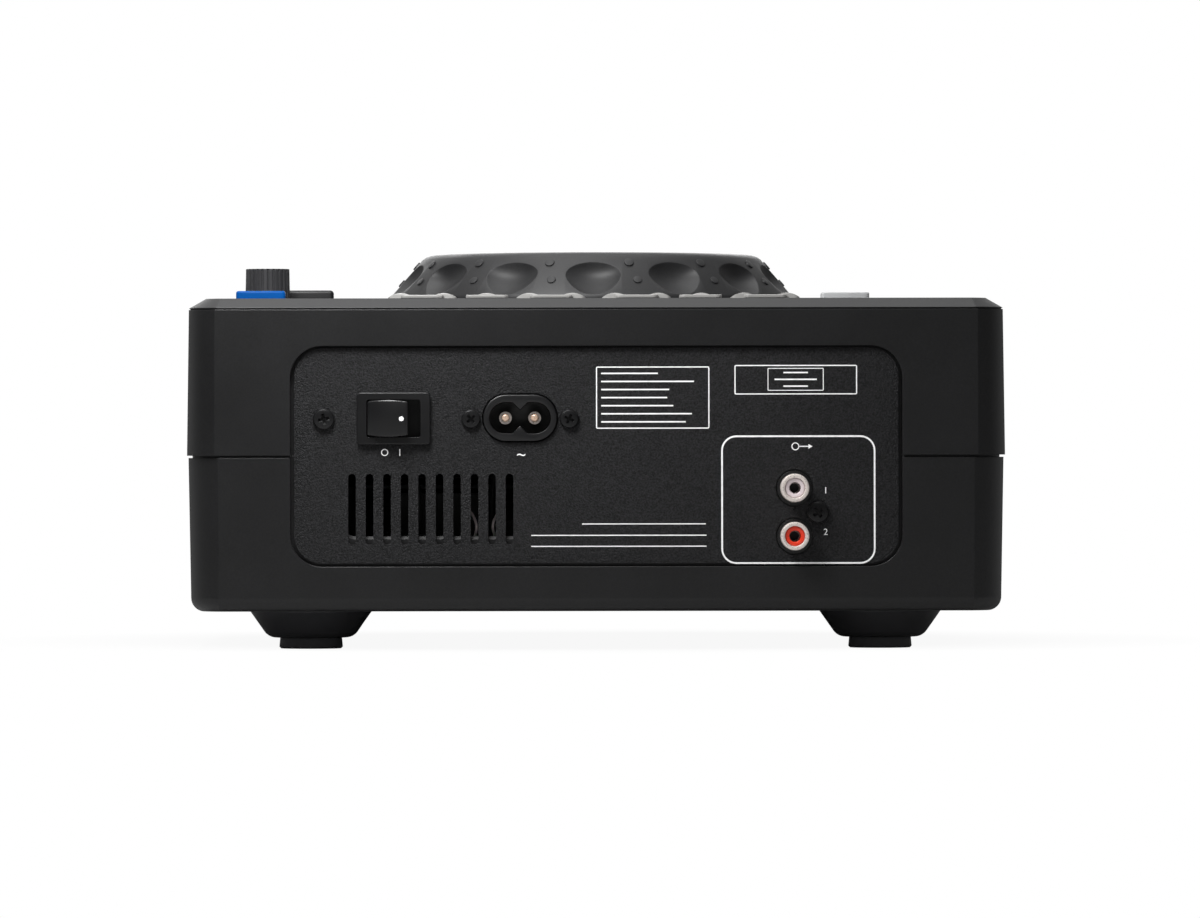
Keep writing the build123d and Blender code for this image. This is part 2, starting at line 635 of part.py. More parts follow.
def inlet_pins():
    """Two brass contact pins with rounded tips."""
    pins = []
    for side in (-1, 1):
        x = INLET_X + side * PIN_SPACING / 2
        pin = peg(x, INLET_Z, PIN_R, PANEL_BACK - INLET_BODY_DEPTH - 4, PANEL_FACE - 0.8)
        pins.append(fillet(pin.edges().group_by(Axis.Y)[-1], 0.7))
    return Compound(children=pins)


# ---- Power switch ----
def switch_housing():
    """Snap-in housing of the rocker switch, with its bezel on the panel."""
    face = PANEL_FACE + BEZEL_PROUD
    back = PANEL_FACE - SWITCH_DEPTH
    pivot_y = face - ROCKER_PIVOT_BACK
    middle = Pos(SWITCH_X, SWITCH_Z)
    bezel = upright(middle * RectangleRounded(BEZEL_W, BEZEL_H, BEZEL_CORNER), PANEL_FACE, face)
    bezel = chamfer(bezel.edges().group_by(Axis.Y)[-1], BEZEL_EDGE)
    body = bezel + upright(middle * Rectangle(SWITCH_BODY_W, SWITCH_BODY_H), back, PANEL_FACE + 0.2)
    hole = middle * RectangleRounded(ROCKER_HOLE_W, ROCKER_HOLE_H, 0.8)
    body -= upright(hole, pivot_y - ROCKER_HUB_R - 0.5, face + 1)
    reach = ROCKER_PIN_REACH + 0.1
    body -= rod(SWITCH_X, pivot_y, ROCKER_PIN_R + FIT, SWITCH_Z - reach, SWITCH_Z + reach)
    offset, half, tall, length = TERMINAL
    for side in (-1, 1):
        x = SWITCH_X + side * offset
        body += block(x - half, x + half, back - length, back, SWITCH_Z - tall, SWITCH_Z + tall)
    return body


def power_rocker():
    """Fan-shaped rocker with a crowned face, shown pressed in at its +X end, on two stub pins."""
    pivot_y = PANEL_FACE + BEZEL_PROUD - ROCKER_PIVOT_BACK
    spread = math.radians(ROCKER_SPREAD)
    x, y = ROCKER_R * math.sin(spread), ROCKER_R * math.cos(spread)
    face = ThreePointArc((-x, y), (0, y + ROCKER_CROWN), (x, y))
    sides = Polyline((x, y), (ROCKER_HUB_R, 0), (-ROCKER_HUB_R, 0), (-x, y))
    fan = make_face([face, sides]) + Circle(ROCKER_HUB_R)
    shape = extrude(fan, amount=ROCKER_MIDDLE_H / 2, both=True)
    low, high = ROCKER_END_H / 2, ROCKER_MIDDLE_H / 2
    barrel = [ThreePointArc((-x, side * low), (0, side * high), (x, side * low)) for side in (-1, 1)]
    barrel += [Line((side * x, -low), (side * x, low)) for side in (-1, 1)]
    shape = shape & upright(make_face(barrel), -ROCKER_R, 2 * ROCKER_R)
    shape += Cylinder(ROCKER_PIN_R, 2 * ROCKER_PIN_REACH)
    return Pos(SWITCH_X, pivot_y, SWITCH_Z) * Rot(0, 0, -ROCKER_TILT) * shape


# ---- Phono jacks ----
def jack_block():
    """Moulded block on the main board that holds both jacks, with a boss round each in the panel's hole."""
    body = block(JACK_X - BLOCK_HALF, JACK_X + BLOCK_HALF, PANEL_BACK - BLOCK_DEPTH, PANEL_BACK,
                 MAIN_BOARD_LOW + BOARD_THICK, BLOCK_TOP)
    for z in JACK_Z:
        body += peg(JACK_X, z, JACK_BOSS_R, PANEL_BACK - 1, PANEL_FACE)
        body -= peg(JACK_X, z, JACK_ROOT_R + 0.02, PANEL_BACK - JACK_ROOT, PANEL_FACE + 1)
    x, z, _ = JACK_SCREW
    body -= peg(x, z, SCREW_SHANK_R + FIT, PANEL_BACK - SCREW_LENGTH, PANEL_BACK + 1)
    return body


def jack_shells():
    """Two plated sleeves with a chamfered lip, and the contact sleeves deep in their centre holes."""
    root = PANEL_BACK - JACK_ROOT
    tip = PANEL_FACE + JACK_REACH
    parts = []
    for z in JACK_Z:
        sleeve = peg(JACK_X, z, JACK_R, PANEL_FACE + JACK_WALL_START, tip)
        sleeve = chamfer(sleeve.edges().group_by(Axis.Y)[-1], JACK_LIP)
        sleeve += peg(JACK_X, z, JACK_ROOT_R, root, tip - 1)
        parts.append(sleeve - peg(JACK_X, z, JACK_BORE_R, root - 1, tip + 1))
        deep = root + CONTACT_LENGTH
        contact = peg(JACK_X, z, JACK_HOLE_R - 0.02, root, deep)
        parts.append(contact - peg(JACK_X, z, JACK_HOLE_R - CONTACT_WALL, root - 1, deep + 1))
    return Compound(children=parts)


def jack_insulator(z):
    """Coloured insulating sleeve inside one jack."""
    root = PANEL_BACK - JACK_ROOT
    body = peg(JACK_X, z, JACK_BORE_R - 0.02, root, PANEL_FACE + JACK_REACH - 0.6)
    return body - peg(JACK_X, z, JACK_HOLE_R, root - 1, PANEL_FACE + JACK_REACH)


# ---- Jog wheel ----
def jog_slope():
    """Lean of the wheel's cone from upright, in radians."""
    return math.atan2(JOG_BASE_R - JOG_RIM_R - 0.9, JOG_SHOULDER_Z - JOG_SKIRT_Z)


def on_slope(z, lift=0.0):
    """Place on the wheel's cone at a height, raised along its normal."""
    lean = jog_slope()
    radius = JOG_BASE_R - (z - JOG_SKIRT_Z) * math.tan(lean)
    return Pos(radius + lift * math.cos(lean), 0, z + lift * math.sin(lean))


def scoop_tool():
    """Tool that carves one finger scoop. It is turned about X, which will lie along the slope."""
    low, high = -SCOOP_LENGTH / 2, SCOOP_LENGTH / 2
    knee = low + SCOOP_KNEE * SCOOP_LENGTH
    lift, deep = SCOOP_AXIS_LIFT, SCOOP_AXIS_LIFT + SCOOP_DEPTH
    ramp = ThreePointArc((low, lift), ((low + knee) / 2, lift + 0.64 * SCOOP_DEPTH), (knee, deep))
    head = ThreePointArc((knee, deep), ((knee + 2 * high) / 3, lift + 0.68 * SCOOP_DEPTH), (high, lift))
    axle = Polyline((high, lift), (high, 0), (low, 0), (low, lift))
    return revolve(make_face([ramp, head, axle]), axis=Axis.X)


def jog_wheel():
    """Conical hollow wheel with finger scoops and low studs between them."""
    profile = [
        (SHAFT_R, JOG_WEB_LOW - 2.5), (9.0, JOG_WEB_LOW - 2.5), (9.0, JOG_WEB_LOW),
        (46.5, JOG_WEB_LOW), (JOG_INNER_R, JOG_BASE_Z), (JOG_BASE_R, JOG_BASE_Z),
        (JOG_BASE_R, JOG_SKIRT_Z), (JOG_RIM_R + 0.9, JOG_SHOULDER_Z), (JOG_RIM_R - 1.2, JOG_TOP_Z),
        (JOG_CAP_R + 0.3, JOG_TOP_Z), (JOG_CAP_R + 0.3, JOG_TOP_Z - JOG_CAP_RECESS),
        (SHAFT_R, JOG_TOP_Z - JOG_CAP_RECESS)]
    wheel = turned(profile)
    tool = on_slope(SCOOP_Z, SCOOP_AXIS_LIFT) * Rot(0, -90 - math.degrees(jog_slope()), 0) * scoop_tool()
    scoops, studs = [], []
    for index in range(SCOOPS):
        turn = 90 + index * 360 / SCOOPS
        scoops.append(Rot(0, 0, turn) * tool)
        for z, r, aside in (STUD_HIGH, STUD_LOW):
            between = Rot(0, 0, turn + 180 / SCOOPS + aside)
            outward = Rot(0, 90 - math.degrees(jog_slope()), 0)
            studs.append(between * on_slope(z) * outward * Cylinder(r, 2 * STUD_RISE))
    return Pos(0, JOG_Y, 0) * (wheel - scoops + studs)


def jog_cap():
    """Flat disc in the middle of the jog wheel's top, with a shallow finger dimple."""
    low = JOG_TOP_Z - JOG_CAP_RECESS
    cap = rod(0, JOG_Y, JOG_CAP_R, low, JOG_TOP_Z - 0.4)
    cap = chamfer(cap.edges().group_by(Axis.Z)[-1], 0.3)
    dimple_r = 40.0
    return cap - Pos(0, JOG_Y - 29.0, JOG_TOP_Z - 0.4 - 0.8 + dimple_r) * Sphere(dimple_r)


def jog_hub():
    """Steel shaft of the jog wheel with its slotted encoder disc."""
    shaft = rod(0, JOG_Y, SHAFT_R, 84.0, JOG_TOP_Z - JOG_CAP_RECESS)
    disc = rod(0, JOG_Y, 22.0, 86.0, 87.2)
    slots = []
    for index in range(24):
        slots.append(Pos(0, JOG_Y, 86.6) * Rot(0, 0, index * 15) * Pos(18.5, 0, 0) * Box(4.0, 1.4, 3.0))
    return shaft + (disc - slots)


def jog_bearing():
    """Flanged bush under the top plate that carries the jog shaft."""
    flange = rod(0, JOG_Y, BEARING_FLANGE_R, UNDER_TOP - 3.0, UNDER_TOP)
    body = flange + rod(0, JOG_Y, BEARING_R, 88.5, JOG_WEB_LOW - 2.8)
    return body - rod(0, JOG_Y, SHAFT_R + FIT, 80.0, JOG_WEB_LOW)


# ---- Keys ----
def key_place(index):
    """Middle of one key in the row, from the -X end."""
    return (KEY_ROW_X + (index - (KEY_COUNT - 1) / 2) * KEY_PITCH, KEY_ROW_Y)


def key_foot(x, y, width, depth):
    """Flange below the top plate that keeps a key in."""
    high = UNDER_TOP - FLANGE_GAP
    grow = 2 * KEY_FLANGE_REACH
    return plate(width + grow, depth + grow, 1.0, high - KEY_FLANGE, high, x, y)


def domed_key(index):
    """One key of the row, crowned from side to side."""
    x, y = key_place(index)
    half = KEY_W / 2
    crown_r = (half * half + KEY_CROWN * KEY_CROWN) / (2 * KEY_CROWN)
    high = TOP_Z + KEY_RISE
    cap = plate(KEY_W, KEY_D, 1.0, UNDER_TOP - FLANGE_GAP - 0.2, high, x, y)
    crown = peg(x, high - crown_r, crown_r, y - KEY_D, y + KEY_D)
    return (cap & crown) + key_foot(x, y, KEY_W, KEY_D)


def flat_key(x, y, width, depth, rise):
    """Flat key with softened top edges."""
    cap = plate(width, depth, 1.0, UNDER_TOP - FLANGE_GAP - 0.2, TOP_Z + rise, x, y)
    cap = fillet(cap.edges().group_by(Axis.Z)[-1], 0.7)
    return cap + key_foot(x, y, width, depth)


def round_button(x, y):
    """Large round button with a dished top."""
    high = TOP_Z + ROUND_BUTTON_RISE
    flange_high = UNDER_TOP - FLANGE_GAP
    cap = rod(x, y, ROUND_BUTTON_R, flange_high - 0.2, high)
    cap = fillet(cap.edges().group_by(Axis.Z)[-1], 0.8)
    cap -= Pos(x, y, high - BUTTON_DISH + BUTTON_DISH_R) * Sphere(BUTTON_DISH_R)
    return cap + rod(x, y, ROUND_BUTTON_R + KEY_FLANGE_REACH, flange_high - KEY_FLANGE, flange_high)


def key_surrounds():
    """Six light carriers on the top plate around the row of keys."""
    carriers = []
    foot, inset = CARRIER_FOOT
    for side in (-1, 1):
        for inner, outer in CARRIERS:
            x = KEY_ROW_X + side * (inner + outer) / 2
            body = plate(outer - inner, CARRIER_D, 1.5, TOP_Z + foot, TOP_Z + CARRIER_RISE, x, KEY_ROW_Y)
            body = fillet(body.edges().group_by(Axis.Z)[-1], 0.25)
            body += plate(outer - inner - 2 * inset, CARRIER_D - 2 * inset, 1.1, TOP_Z, TOP_Z + foot,
                          x, KEY_ROW_Y)
            for key_x, key_y in map(key_place, range(KEY_COUNT)):
                if abs(key_x - x) < (outer - inner) / 2 + 1:
                    body -= plate(KEY_W + 2 * KEY_GAP, KEY_D + 2 * KEY_GAP, KEY_HOLE_R,
                                  TOP_Z - 1, TOP_Z + 3, key_x, key_y)
            carriers.append(body)
    return Compound(children=carriers)


# ---- Knob and fader ----
def track_knob():
    """Fluted knob on its shaft."""
    x, y = KNOB
    profile = [(0, KNOB_LOW), (KNOB_BASE_R, KNOB_LOW), (KNOB_TOP_R, KNOB_HIGH - 0.5),
               (KNOB_TOP_R - 0.5, KNOB_HIGH), (0, KNOB_HIGH)]
    flute = rod(KNOB_BASE_R + 0.25, 0, FLUTE_R, KNOB_LOW + FLUTE_START, KNOB_HIGH + 1)
    flutes = [Rot(0, 0, index * 360 / KNOB_FLUTES) * flute for index in range(KNOB_FLUTES)]
    knob = turned(profile) - flutes + rod(0, 0, KNOB_SHAFT_R, KNOB_LOW - KNOB_SHAFT_LENGTH, KNOB_LOW + 0.5)
    return Pos(x, y, 0) * knob


def knob_encoder():
    """Body of the rotary encoder on the control board."""
    x, y = KNOB
    low, half = BOARD_LOW + BOARD_THICK, ENCODER_HALF
    body = block(x - half, x + half, y - half, y + half, low, UNDER_TOP - 0.6)
    return body - rod(x, y, KNOB_SHAFT_R + FIT, low + 0.8, UNDER_TOP)


def fader_cap():
    """Pitch fader cap with a centre ridge and finger hollows, on its flat stem."""
    x, y = FADER
    cap = plate(FADER_CAP[0], FADER_CAP[1], 1.0, FADER_LOW, FADER_HIGH, x, y)
    cap = chamfer(cap.edges().group_by(Axis.Z)[-1], 0.6)
    for side in (-1, 1):
        axis_z = FADER_HIGH + FADER_HOLLOW_R - FADER_HOLLOW_DEPTH
        cap -= Pos(x, y + side * 2.9, axis_z) * Rot(0, 90, 0) * Cylinder(FADER_HOLLOW_R, 2 * FADER_CAP[0])
    half = FADER_STEM_W / 2
    return cap + block(x - half, x + half, y - 2.0, y + 2.0, FADER_STEM_LOW, FADER_LOW + 0.2)


def slide_pot():
    """Slide potentiometer under the control board, with a slot for the stem."""
    x, y = FADER
    width, length, low = SLIDER
    slot = FADER_TRAVEL + 6
    body = Pos(x, y, (low + BOARD_LOW) / 2) * Box(width, length, BOARD_LOW - low)
    return body - Pos(x, y, BOARD_LOW) * Box(FADER_SLOT_W, slot, 2 * (BOARD_LOW - low - 2))


# ---- Display and boards ----
def display_window():
    """Clear window, flush with the top plate."""
    x, y, w, d = DISPLAY
    return plate(w - 0.3, d - 0.3, 1.9, TOP_Z - WINDOW_THICK, TOP_Z, x, y)


def display_module():
    """Display glass in its holder, standing on the control board."""
    x, y, w, d = DISPLAY
    low = BOARD_LOW + BOARD_THICK
    body = plate(w - 6, d - 6, 1.0, low, TOP_Z - WINDOW_THICK - 0.3, x, y)
    return body - plate(w - 12, d - 12, 1.0, TOP_Z - WINDOW_THICK - 0.8, TOP_Z, x, y)


def control_board():
    """Board under the top plate with one small switch below each key."""
    top = BOARD_LOW + BOARD_THICK
    board = plate(*CONTROL_BOARD, 4.0, BOARD_LOW, top, y=BODY_Y - 1)
    board -= rod(0, JOG_Y, BOARD_HOLE_R, BOARD_LOW - 1, top + 1)
    board -= Pos(*FADER, BOARD_LOW) * Box(FADER_SLOT_W, FADER_TRAVEL + 6, 4 * BOARD_THICK)
    places = [key_place(index) for index in range(KEY_COUNT)]
    places += [key[:2] for key in (BLUE_KEY, DARK_KEY, CLEAR_KEY)]
    places += list(ROUND_BUTTONS.values())
    half = SWITCH_SIZE / 2
    for x, y in places:
        board += block(x - half, x + half, y - half, y + half, top - 0.2, SWITCH_TOP)
    return board


def board_on_spacers(place, low, back, spacers):
    """Horizontal board whose rear edge is at back, on four round spacers."""
    x, width, depth = place
    board = plate(width, depth, 2.0, low, low + BOARD_THICK, x=x, y=back - depth / 2)
    for spacer_x, spacer_y in spacers:
        board += rod(spacer_x, spacer_y, SPACER_R, ABOVE_FLOOR, low + 0.2)
    return board


def main_board():
    """Board that carries the jacks and the chips."""
    back = PANEL_BACK - LEDGE_THICK - BOARD_BEHIND_LEDGE
    return board_on_spacers(MAIN_BOARD, MAIN_BOARD_LOW, back, MAIN_SPACERS)


def power_board():
    """Board of the power supply."""
    return board_on_spacers(POWER_BOARD, POWER_BOARD_LOW, PANEL_BACK - POWER_BOARD_BACK, POWER_SPACERS)


def board_parts():
    """Transformer, capacitors, heat sink and chips, each its own solid on its board."""
    parts = []
    boards = ((POWER_BOARD_LOW, POWER_BLOCKS, POWER_CANS), (MAIN_BOARD_LOW, MAIN_BLOCKS, MAIN_CANS))
    for low, blocks, cans in boards:
        top = low + BOARD_THICK
        parts += [block(x0, x1, y0, y1, top, top + height) for x0, x1, y0, y1, height in blocks]
        parts += [rod(x, y, r, top, top + height) for x, y, r, height in cans]
    return Compound(children=parts)


# ---- Disc drive ----
def disc_tray():
    """Tray with a dished seat for the disc, a slot for the hub, side tongues and a rack below."""
    body = block(-TRAY_HALF, TRAY_HALF, TRAY_FRONT, TRAY_REAR, TRAY_LOW, TRAY_HIGH)
    body += block(-TONGUE_REACH, TONGUE_REACH, TRAY_FRONT + 4, TRAY_REAR, TONGUE_LOW, TONGUE_HIGH)
    body -= rod(0, DISC_Y, DISC_R + 1.0, TRAY_SEAT, TRAY_HIGH + 1)
    body -= rod(0, DISC_Y, TRAY_SLOT, TRAY_LOW - 1, TRAY_HIGH + 1)
    body -= block(-TRAY_SLOT, TRAY_SLOT, DISC_Y, TRAY_REAR + 1, TRAY_LOW - 1, TRAY_HIGH + 1)
    pitch_x = GEAR_X + PINION_TEETH * RACK_MODULE / 2
    teeth = rack(pitch_x, GEAR_Y, TRAY_FRONT + 3, TRAY_REAR, pitch_x + TRAY_RACK_BACK, RACK_MODULE,
                 TRAY_RACK_LOW, TRAY_LOW + 0.3)
    return body + teeth


def tray_front():
    """Cover on the front of the tray: a plate that laps over the opening, and a plug inside it."""
    middle = Pos(0, (FACE_LOW + FACE_HIGH) / 2)
    height = FACE_HIGH - FACE_LOW
    outer, back = FRONT_Y - FACE_PROUD, FRONT_Y + LOWER_STEP - FACE_CLEAR
    cover = middle * RectangleRounded(2 * (FACE_HALF + FACE_LAP), height + 2 * FACE_LAP, 1.5)
    face = upright(cover, outer, back)
    face = fillet(face.edges().group_by(Axis.Y)[0], 0.8)
    return face + upright(middle * RectangleRounded(2 * FACE_HALF, height, 1.5), outer + 1, TRAY_FRONT)


def mirrored_block(x0, x1, y0, y1, z0, z1):
    """The same box on the +X and the -X side."""
    return block(x0, x1, y0, y1, z0, z1) + block(-x1, -x0, y0, y1, z0, z1)


def loading_motor_x():
    """Axis of the loading motor, which meshes with the big wheel of the loading gear."""
    return GEAR_X - (BIG_TEETH + SMALL_TEETH) * TRAIN_MODULE / 2


def loader_chassis():
    """Frame of the drive: side walls with tray guides, front deck, rear beam with pivot ears, feet."""
    front, rear = CHASSIS_FRONT, CHASSIS_REAR
    body = block(-SIDE_IN - 0.1, SIDE_IN + 0.1, front, DECK_REAR, DECK_LOW, DECK_HIGH)
    body += block(-SIDE_IN - 0.1, SIDE_IN + 0.1, BEAM_FRONT, rear, ABOVE_FLOOR, BEAM_TOP)
    body += mirrored_block(SIDE_IN, SIDE_OUT, front, rear, ABOVE_FLOOR, BRIDGE_LOW)
    body += mirrored_block(GUIDE_IN, SIDE_IN, front, rear, GUIDE_LOW, TONGUE_LOW - GUIDE_GAP)
    body += mirrored_block(GUIDE_IN, SIDE_IN, front, rear, TONGUE_HIGH + GUIDE_GAP, GUIDE_HIGH)
    reach, half, thick = CHASSIS_FOOT
    foot_top = ABOVE_FLOOR + thick
    for y in CHASSIS_FEET:
        body += mirrored_block(SIDE_OUT, SIDE_OUT + reach, y - half, y + half, ABOVE_FLOOR, foot_top)
    inner, outer, ear_front, ear_top = EAR
    body += mirrored_block(inner, outer, ear_front, rear, ABOVE_FLOOR, ear_top)
    body -= Pos(0, PIVOT_Y, PIVOT_Z) * Rot(0, 90, 0) * Cylinder(PIVOT_R + FIT, 120)
    body -= rod(loading_motor_x(), GEAR_Y, MOTOR_COLLAR_R, DECK_LOW - 1, DECK_HIGH + 1)
    return body + rod(GEAR_X, GEAR_Y, AXLE_R, DECK_HIGH - 0.2, 37.0)


def loading_motor():
    """Small motor that hangs below the deck."""
    radius, low = LOADING_MOTOR
    body = rod(loading_motor_x(), GEAR_Y, radius, low, DECK_LOW)
    return body - rod(loading_motor_x(), GEAR_Y, MOTOR_SHAFT_R + FIT, low + 4.5, DECK_LOW + 1)


def motor_pinion():
    """Small gear on the loading motor's shaft, with a gap towards the big gear."""
    half_pitch = 180 / SMALL_TEETH
    body = gear(loading_motor_x(), GEAR_Y, SMALL_TEETH, TRAIN_MODULE, 29.3, 33.0, half_pitch)
    return body + rod(loading_motor_x(), GEAR_Y, MOTOR_SHAFT_R, 21.0, 29.6)


def loading_gear():
    """Double gear: the big wheel meets the motor pinion, the small one the tray's rack."""
    body = gear(GEAR_X, GEAR_Y, BIG_TEETH, TRAIN_MODULE, 29.0, 32.5)
    body += gear(GEAR_X, GEAR_Y, PINION_TEETH, RACK_MODULE, 32.3, 37.4)
    return body - rod(GEAR_X, GEAR_Y, AXLE_R + FIT, 28, 38)


def traverse_frame():
    """Tilting frame that carries the spindle, the rods and the pickup. It hangs on two stub pins."""
    width, depth, y, low, high = TRAVERSE
    body = plate(width, depth, 3.0, low, high, y=y)
    beam_front, beam_rear, beam_top = TRAVERSE_BEAM
    body += block(-width / 2, width / 2, beam_front, beam_rear, low, beam_top)
    half, window_low, window_high = TRAVERSE_WINDOW
    body -= block(-half, half, window_low, window_high, low - 1, beam_top + 1)
    body += mirrored_block(width / 2 - TRAVERSE_ARM, width / 2, beam_front + 2, PIVOT_Y + 3,
                           TRAVERSE_UNDER, beam_top + 0.5)
    pin_in, pin_out = PIVOT_PIN
    pin = Rot(0, 90, 0) * Cylinder(PIVOT_R, pin_out - pin_in)
    for side in (-1, 1):
        body += Pos(side * (pin_in + pin_out) / 2, PIVOT_Y, PIVOT_Z) * pin
        x = side * RAIL_X
        for y0, y1 in RAIL_MOUNTS:
            body += block(x - RAIL_MOUNT_HALF, x + RAIL_MOUNT_HALF, y0, y1, TRAVERSE_UNDER, beam_top + 1)
        body -= peg(x, RAIL_Z, RAIL_R + FIT, RAIL_ENDS[0] - 0.1, RAIL_ENDS[1] + 0.1)
    body -= rod(0, DISC_Y, SPINDLE_MOTOR[2] + 1, low - 1, high + 1)
    return body - rod(sled_gear_x(), SLED_GEAR_Y, SLED_MOTOR[2] + 1, low - 1, high + 1)


def sled_gear_x():
    """Place of the sled gear beside the rack."""
    return SLED_PITCH_X + SLED_TEETH * SLED_MODULE / 2


def sled_rails():
    """Two steel rods that guide the sled."""
    return Compound(children=[peg(x, RAIL_Z, RAIL_R, *RAIL_ENDS) for x in (-RAIL_X, RAIL_X)])


def drive_motors():
    """Spindle motor and sled motor, both below the traverse frame."""
    parts = []
    for x, y, motor in ((0, DISC_Y, SPINDLE_MOTOR), (sled_gear_x(), SLED_GEAR_Y, SLED_MOTOR)):
        radius, low, shaft_r = motor
        can = rod(x, y, radius, low, TRAVERSE[3])
        parts.append(can - rod(x, y, shaft_r + FIT, low + MOTOR_FLOOR, TRAVERSE[3] + 1))
    return Compound(children=parts)


def spindle_hub():
    """Turntable that carries the disc, with its centring cone, on the spindle shaft."""
    cone_top = HUB_TOP + 1.8
    outline = [(0, HUB_LOW), (HUB_R - 1, HUB_LOW), (HUB_R, HUB_LOW + 0.8), (HUB_R, HUB_TOP),
               (CONE_R, HUB_TOP), (CONE_R, HUB_TOP + 1.4), (CONE_R - 2.4, cone_top), (0, cone_top)]
    body = turned(outline, 0, DISC_Y)
    _, low, shaft_r = SPINDLE_MOTOR
    return body + rod(0, DISC_Y, shaft_r, low + MOTOR_FLOOR + 0.5, HUB_LOW + 0.2)


def pickup_sled():
    """Sled with the optical pickup. It slides on the two rods and carries a rack."""
    width, depth, y, low, high = SLED
    body = plate(width, depth, 2.0, low, high, y=y)
    web_in, web_out, y0, y1 = SLED_RACK
    body += block(web_in, web_out, y0, y1, SLED_RACK_LOW - 0.4, SLED_RACK_HIGH)
    for x in (-RAIL_X, RAIL_X):
        body -= peg(x, RAIL_Z, RAIL_R + 0.08, -70, 0)
    half, pocket_low, pocket_high, floor = POCKET
    body -= block(-half, half, pocket_low, pocket_high, floor, high + 1)
    return body + rack(SLED_PITCH_X, SLED_GEAR_Y, y0, y1, web_out - 0.5, SLED_MODULE,
                       SLED_RACK_LOW, SLED_RACK_HIGH)


def pickup_lens():
    """Lens in its moving holder, in the sled's pocket."""
    half, y0, y1, low, high = LENS_HOLDER
    lens = Pos(0, (y0 + y1) / 2, LENS_CENTRE_Z) * (Sphere(LENS_R) & Box(8, 8, 4.4))
    return block(-half, half, y0, y1, low, high) + lens


def sled_gear():
    """Gear on the sled motor's shaft that drives the sled's rack."""
    x = sled_gear_x()
    _, low, shaft_r = SLED_MOTOR
    body = gear(x, SLED_GEAR_Y, SLED_TEETH, SLED_MODULE, SLED_RACK_LOW, SLED_RACK_HIGH)
    return body + rod(x, SLED_GEAR_Y, shaft_r, low + MOTOR_FLOOR + 0.5, SLED_RACK_LOW + 0.4)


def clamp_bridge():
    """Steel strip across the drive that holds the clamp puck above the disc."""
    high = BRIDGE_LOW + BRIDGE_THICK
    body = block(-SIDE_OUT, SIDE_OUT, DISC_Y - BRIDGE_HALF, DISC_Y + BRIDGE_HALF, BRIDGE_LOW, high)
    return body - rod(0, DISC_Y, PUCK_NECK_R + 0.5, BRIDGE_LOW - 1, high + 1)


def clamp_puck():
    """Puck that presses the disc on the hub and turns with it."""
    high = BRIDGE_LOW + BRIDGE_THICK
    return turned([(0, BRIDGE_LOW - 1.6), (PUCK_R, BRIDGE_LOW - 1.6), (PUCK_R, BRIDGE_LOW - 0.5),
                   (PUCK_NECK_R, BRIDGE_LOW - 0.5), (PUCK_NECK_R, high + 0.3), (PUCK_R, high + 0.3),
                   (PUCK_R, high + 1.7), (0, high + 1.7)], 0, DISC_Y)


PARTS = {
    "upper_shell": upper_shell, "lower_shell": lower_shell, "case_screws": case_screws,
    "rear_screws": rear_screws, "rear_panel": rear_panel, "foot_cones": foot_cones,
    "foot_pads": foot_pads, "inlet_housing": inlet_housing, "inlet_pins": inlet_pins,
    "switch_housing": switch_housing, "power_rocker": power_rocker, "jack_block": jack_block,
    "jack_shells": jack_shells, "jog_wheel": jog_wheel, "jog_cap": jog_cap, "jog_hub": jog_hub,
    "jog_bearing": jog_bearing, "key_surrounds": key_surrounds, "track_knob": track_knob,
    "knob_encoder": knob_encoder, "fader_cap": fader_cap, "slide_pot": slide_pot,
    "display_window": display_window, "display_module": display_module,
    "control_board": control_board, "main_board": main_board, "power_board": power_board,
    "board_parts": board_parts, "disc_tray": disc_tray, "tray_front": tray_front,
    "loader_chassis": loader_chassis, "loading_motor": loading_motor, "motor_pinion": motor_pinion,
    "loading_gear": loading_gear, "traverse_frame": traverse_frame, "sled_rails": sled_rails,
    "drive_motors": drive_motors, "spindle_hub": spindle_hub, "pickup_sled": pickup_sled,
    "pickup_lens": pickup_lens, "sled_gear": sled_gear, "clamp_bridge": clamp_bridge,
    "clamp_puck": clamp_puck,
}


def build():
    """Makes every node as a name and shape pair."""
    nodes = {name: make() for name, make in PARTS.items()}
    nodes["jack_insulator_white"] = jack_insulator(JACK_Z[0])
    nodes["jack_insulator_red"] = jack_insulator(JACK_Z[1])
    for index in range(KEY_COUNT):
        nodes[f"row_key_{index + 1}"] = domed_key(index)
    for name, key in (("blue_key", BLUE_KEY), ("dark_key", DARK_KEY), ("clear_key", CLEAR_KEY)):
        nodes[name] = flat_key(*key)
    for name, place in ROUND_BUTTONS.items():
        nodes[name] = round_button(*place)
    return nodes


os.makedirs("parts", exist_ok=True)
for node_name, shape in build().items():
    export_step(shape, f"parts/{node_name}.step")
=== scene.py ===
import logging
import math
from contextlib import contextmanager
from dataclasses import dataclass, field
from enum import Enum
from typing import Callable, Iterator, Optional, Sequence

import bmesh
import bpy
from mathutils import Matrix, Vector


